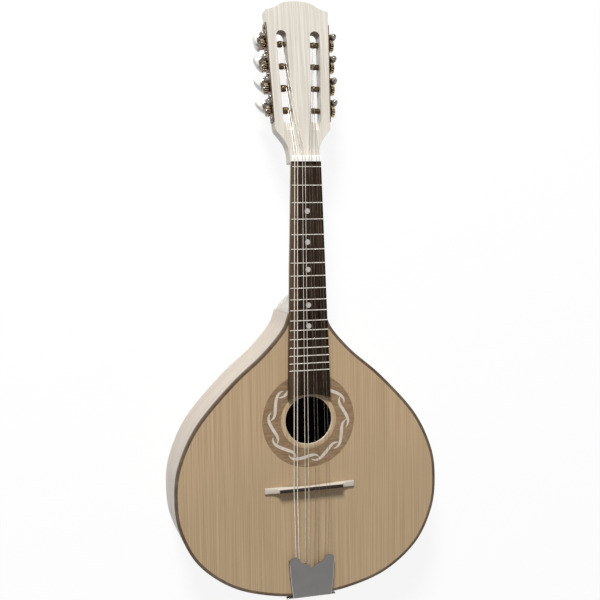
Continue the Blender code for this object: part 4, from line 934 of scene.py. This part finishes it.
# name, x at the nut, the bridge and the tailpiece, radius, side, machine,
# and how far out on its roller it ends
strings = [
    ("gOuter", -13.6, -20.6, -16.8, 0.50, "left", 4, 3.8),
    ("gInner", -10.5, -16.8, -13.6, 0.50, "left", 3, 4.0),
    ("dOuter", -5.1, -7.9, -7.2, 0.34, "left", 2, 4.2),
    ("dInner", -2.0, -3.8, -2.8, 0.34, "left", 1, 4.4),
    ("aInner", 2.3, 4.2, 3.4, 0.19, "right", 1, 4.4),
    ("aOuter", 5.3, 8.0, 7.8, 0.19, "right", 2, 4.2),
    ("eInner", 10.4, 16.8, 14.6, 0.14, "right", 3, 4.0),
    ("eOuter", 13.4, 20.4, 18.0, 0.14, "right", 4, 3.8)]

# a wheel's and a roller's own axis is z, laid here along the side frame's x
lay = Matrix(((0, 0, 1, 0), (1, 0, 0, 0), (0, 1, 0, 0), (0, 0, 0, 1)))

for side, sign in (("left", -1), ("right", 1)):
    edgeFrame = sideFrame(sign)
    for number, y in machine["rollers"].items():
        label = "%s%d" % (side, number)
        node = "tuner_%s_%d_" % (side, number)
        keyBody, postBody = "%s_%d_key" % (side, number), "%s_%d_post" % (side, number)
        out, middle = sign * machine["out"], machine["middle"]
        wormFrame = edgeFrame @ Matrix.Translation((out, y + machine["wormAbove"], middle))
        wheelFrame = edgeFrame @ Matrix.Translation((out, y, middle)) @ lay
        turn = Matrix.Rotation(math.radians(machine["buttonTurns"][side][number - 1]) * sign, 4, "Z")
        buttonFrame = wormFrame @ Matrix.Translation((0, 0, -machine["buttonDown"])) @ turn
        facing = wheelFrame if sign > 0 else wheelFrame @ Matrix.Rotation(math.pi, 4, "X")
        screwFrame = facing @ Matrix.Translation((0, 0, machine["wheelWide"] / 2))
        for kind, bm, place, finish, slot, sharp, body in (
                ("Worm", wormShape(), wormFrame, "shaftSteel", "plate_steel", 35, keyBody),
                ("Button", buttonShape(), buttonFrame, "buttonWhite", "button_plastic", 50, keyBody),
                ("Wheel", wheelShape(), wheelFrame, "gearBrass", "gear_brass", 25, postBody),
                ("WheelScrew", screwShape(wheelScrew, number), screwFrame,
                 "shaftSteel", "plate_steel", 35, postBody),
                ("Roller", rollerShape(), facing, "rollerSteel", "plate_steel", 35, postBody)):
            placeMesh(bm, place)
            stands = () if kind == "WheelScrew" else [node + kind.lower()]
            newPiece(label + kind, bm, finish, stands, sharp, body=body)
    bm = softCopy("tuner_plate_" + side, 0.25)
    newPiece(side + "TunerPlate", bm, "plateSteel", ["tuner_plate_" + side])
    bm = bmesh.new()
    outward = Matrix(((0, 0, sign, sign * plateScrew["out"]), (1, 0, 0, 0),
                      (0, sign, 0, machine["middle"]), (0, 0, 0, 1)))
    places = [y - plateScrew["below"] for y in machine["rollers"].values()] + [plateScrew["top"]]
    for k, y in enumerate(places):
        addCopy(bm, screwShape(plateScrew, k), edgeFrame @ Matrix.Translation((0, y, 0)) @ outward)
    newPiece(side + "PlateScrews", bm, "shaftSteel", ())
print("tuning machines made")


cover = {"edge": 0.7, "longer": 1.035, "longFrom": 12}  # the long edges of its top are bevelled bright
bm = softCopy("bridge", 0.45, 3, 25)
newPiece("bridgeBody", bm, "bridgeMaple", ["bridge"])
bm = softCopy("bridge_saddle", 0.2, 2, 25)
newPiece("bridgeCap", bm, "capWood", ["bridge_saddle"])
bm = softCopy("tailpiece_base", 0.2)
newPiece("tailBase", bm, "shaftSteel", ["tailpiece_base"])
bm = softCopy("tailpiece_cover")
coverEnd = min(v.co.y for v in bm.verts)
for vert in bm.verts:
    vert.co.y = coverEnd + (vert.co.y - coverEnd) * cover["longer"]
coverTop = max(v.co.z for v in bm.verts)
longEdges = [e for e in bm.edges if len(e.link_faces) == 2 and e.calc_face_angle(0) > 0.7
             and abs(e.verts[0].co.z - coverTop) < 0.1 * mm and abs(e.verts[1].co.z - coverTop) < 0.1 * mm
             and abs(e.verts[0].co.y - e.verts[1].co.y) > 0.9 * e.calc_length() > cover["longFrom"] * mm]
# the bevels on the long top edges take a much paler finish: a painted highlight along both edges
bmesh.ops.bevel(bm, geom=longEdges, offset=cover["edge"] * mm, offset_type="OFFSET", segments=3, profile=0.5,
                affect="EDGES", clamp_overlap=True, material=1)
softenEdges(bm, 0.2 * mm, 2, 40)
newPiece("tailCover", bm, "coverMetal", ["tailpiece_cover"], 40,
         second=("coverEdge", lambda face: face.material_index == 1))
print("bridge and tailpiece made")


stringForm = {"hookLine": -103.7, "hookHigh": 2.0, "saddleLine": 0.8, "saddleSlant": 0.45, "saddleTop": 9.45,
              "fretToNut": 5.5, "nutFrom": 356.6, "nutTo": 361.3, "nutTop": 6.5, "woundFrom": 0.3,
              "thickFrom": 0.4}
coil = {"sides": 8, "steps": 24, "pitch": 2.7, "woundTurns": 4, "plainTurns": 5}
slope = math.tan(math.radians(stringForm["saddleSlant"]))
for label, nutX, saddleX, tailX, radius, side, number, reach in strings:
    sign = 1 if side == "right" else -1
    saddleY = stringForm["saddleLine"] + saddleX * slope
    height = stringForm["nutTop"] + radius
    spread = (nutX - saddleX) / (board["scale"] - saddleY)
    across = -sign * (headForm["slotFromEdge"] + headForm["slotWide"] - reach)
    y = machine["rollers"][number]
    rollerTop = machine["middle"] + machine["rollerRadius"] + radius + 0.02
    points = [
        Vector((tailX, stringForm["hookLine"], stringForm["hookHigh"] + radius)),
        Vector((saddleX, saddleY, stringForm["saddleTop"] + radius)),
        Vector((nutX - spread * stringForm["fretToNut"], board["scale"], height)),
        Vector((nutX, stringForm["nutFrom"], height)),
        Vector((nutX, stringForm["nutTo"], height)),
        bodyFrame.inverted() @ (sideFrame(sign) @ Vector((across, y - 0.4, rollerTop)))]
    curve = bpy.data.curves.new(label, "CURVE")
    curve.dimensions = "3D"
    curve.bevel_depth = radius * mm
    curve.bevel_resolution = 3
    curve.use_fill_caps = True
    line = curve.splines.new("POLY")
    line.points.add(len(points) - 1)
    for spot, point in zip(line.points, points):
        spot.co = (*(bodyFrame @ point), 1)
    holder = newObject("stringLine", curve)
    bm = bmesh.new()
    bm.from_mesh(bakedMesh(holder))
    bpy.data.objects.remove(holder, do_unlink=True)
    wound = radius > stringForm["woundFrom"]
    finish = "woundWire" if radius > stringForm["thickFrom"] else "fineWoundWire" if wound else "plainSteel"
    newPiece(label + "String", bm, finish, ["string_%s_%s" % (label[0], label[1:].lower())], 60)

    # the turns on the roller, which ride with it
    bm = bmesh.new()
    bmesh.ops.create_circle(bm, cap_ends=True, segments=coil["sides"], radius=radius)
    turns = coil["woundTurns"] if wound else coil["plainTurns"]
    for axis in ("Y", "Z"):
        bmesh.ops.rotate(bm, verts=bm.verts, cent=(0, 0, 0), matrix=Matrix.Rotation(math.pi / 2, 3, axis))
    bmesh.ops.translate(bm, verts=bm.verts, vec=(across, 0, machine["rollerRadius"] + radius))
    bmesh.ops.spin(
        bm, geom=bm.verts[:] + bm.edges[:] + bm.faces[:], cent=(0, 0, 0), axis=(1, 0, 0),
        dvec=(sign * coil["pitch"] * radius / coil["steps"], 0, 0), angle=-turns * 2 * math.pi,
        steps=coil["steps"] * turns, use_merge=False, use_duplicate=False)
    placeMesh(bm, sideFrame(sign) @ Matrix.Translation((0, y, machine["middle"])))
    newPiece(label + "Coil", bm, "coilBronze", (), 60, body="%s_%d_post" % (side, number))
print("strings made")


studio = {"floorHalf": 6.0, "floorGlow": 0.88, "fill": 0.30, "fillTone": (0.95, 0.965, 1.0, 1),
          "lampPlace": (-0.72, 2.35, 1.85), "lampAim": (0, 0, 0.03), "lampSize": 0.7, "lampPower": 109.0,
          "lampTone": (1.0, 0.985, 0.965)}
white = (1, 1, 1, 1)


# one shader lights the object, the other is what the eye, a mirror or glass sees
def splitShader(tree, end, lighting, seen):
    path = tree.nodes.new("ShaderNodeLightPath")
    either = mathNode(tree, "Math", "MAXIMUM", (path, "Is Camera Ray"), (path, "Is Glossy Ray"))
    straight = mathNode(tree, "Math", "MAXIMUM", (either, 0), (path, "Is Transmission Ray"))
    mix = tree.nodes.new("ShaderNodeMixShader")
    join(tree, straight, 0, mix, 0)
    join(tree, lighting, 0, mix, 1)
    join(tree, seen, 0, mix, 2)
    join(tree, mix, 0, end, "Surface")


def floorMaterial():
    material = bpy.data.materials.new("paleFloor")
    material.use_nodes = True
    tree = material.node_tree
    tree.nodes.clear()
    end = tree.nodes.new("ShaderNodeOutputMaterial")
    plain = addNode(tree, "BsdfDiffuse", None, {"Color": (0.80, 0.80, 0.80, 1)})
    shade = addNode(tree, "BsdfDiffuse", None, {"Color": white})
    glow = addNode(tree, "Emission", None, {"Color": white, "Strength": 1.0})
    bright = addNode(tree, "MixShader", None, {0: studio["floorGlow"]})
    join(tree, shade, 0, bright, 1)
    join(tree, glow, 0, bright, 2)
    splitShader(tree, end, plain, bright)
    return material


bm = bmesh.new()
bmesh.ops.create_grid(bm, x_segments=1, y_segments=1, size=studio["floorHalf"])
floorMesh = meshFrom("floor", bm)
floorMesh.materials.append(floorMaterial())
floor = newObject("floor", floorMesh)
floor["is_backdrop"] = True

world = bpy.data.worlds.new("studio")
bpy.context.scene.world = world
world.use_nodes = True
tree = world.node_tree
tree.nodes.clear()
end = tree.nodes.new("ShaderNodeOutputWorld")
fill = addNode(tree, "Background", None, {"Color": studio["fillTone"], "Strength": studio["fill"]})
plainWhite = addNode(tree, "Background", None, {"Color": white, "Strength": 1.0})
splitShader(tree, end, fill, plainWhite)

lamp = bpy.data.lights.new("keyLamp", "AREA")
lamp.shape = "SQUARE"
lamp.size = studio["lampSize"]
lamp.energy = studio["lampPower"]
lamp.color = studio["lampTone"]
lampHolder = newObject("keyLamp", lamp)
lampHolder.location = studio["lampPlace"]
lampHolder.rotation_mode = "QUATERNION"
lampHolder.rotation_quaternion = (Vector(studio["lampAim"]) - lampHolder.location).to_track_quat("-Z", "Y")

cameraSpot = {"place": (-0.2991, 0.2937, 1.0242), "right": (0.96149, -0.01412, 0.27447),
              "up": (0.03573, 0.99662, -0.07391), "back": (-0.27250, 0.08087, 0.95875), "lens": 59.34}
camera = bpy.data.cameras.new("camera")
camera.lens = cameraSpot["lens"]
camera.sensor_width = 36.0
camera.clip_start, camera.clip_end = 0.01, 50.0
cameraHolder = newObject("camera", camera)
turn = Matrix((cameraSpot["right"], cameraSpot["up"], cameraSpot["back"])).transposed()
cameraHolder.matrix_world = Matrix.Translation(
    Vector(cameraSpot["place"]) + Vector((0, bridgeLine, topHeight))) @ turn.to_4x4()
bpy.context.scene.camera = cameraHolder
bpy.context.scene.view_settings.view_transform = "Standard"
print("floor, light and camera made")

low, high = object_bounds()
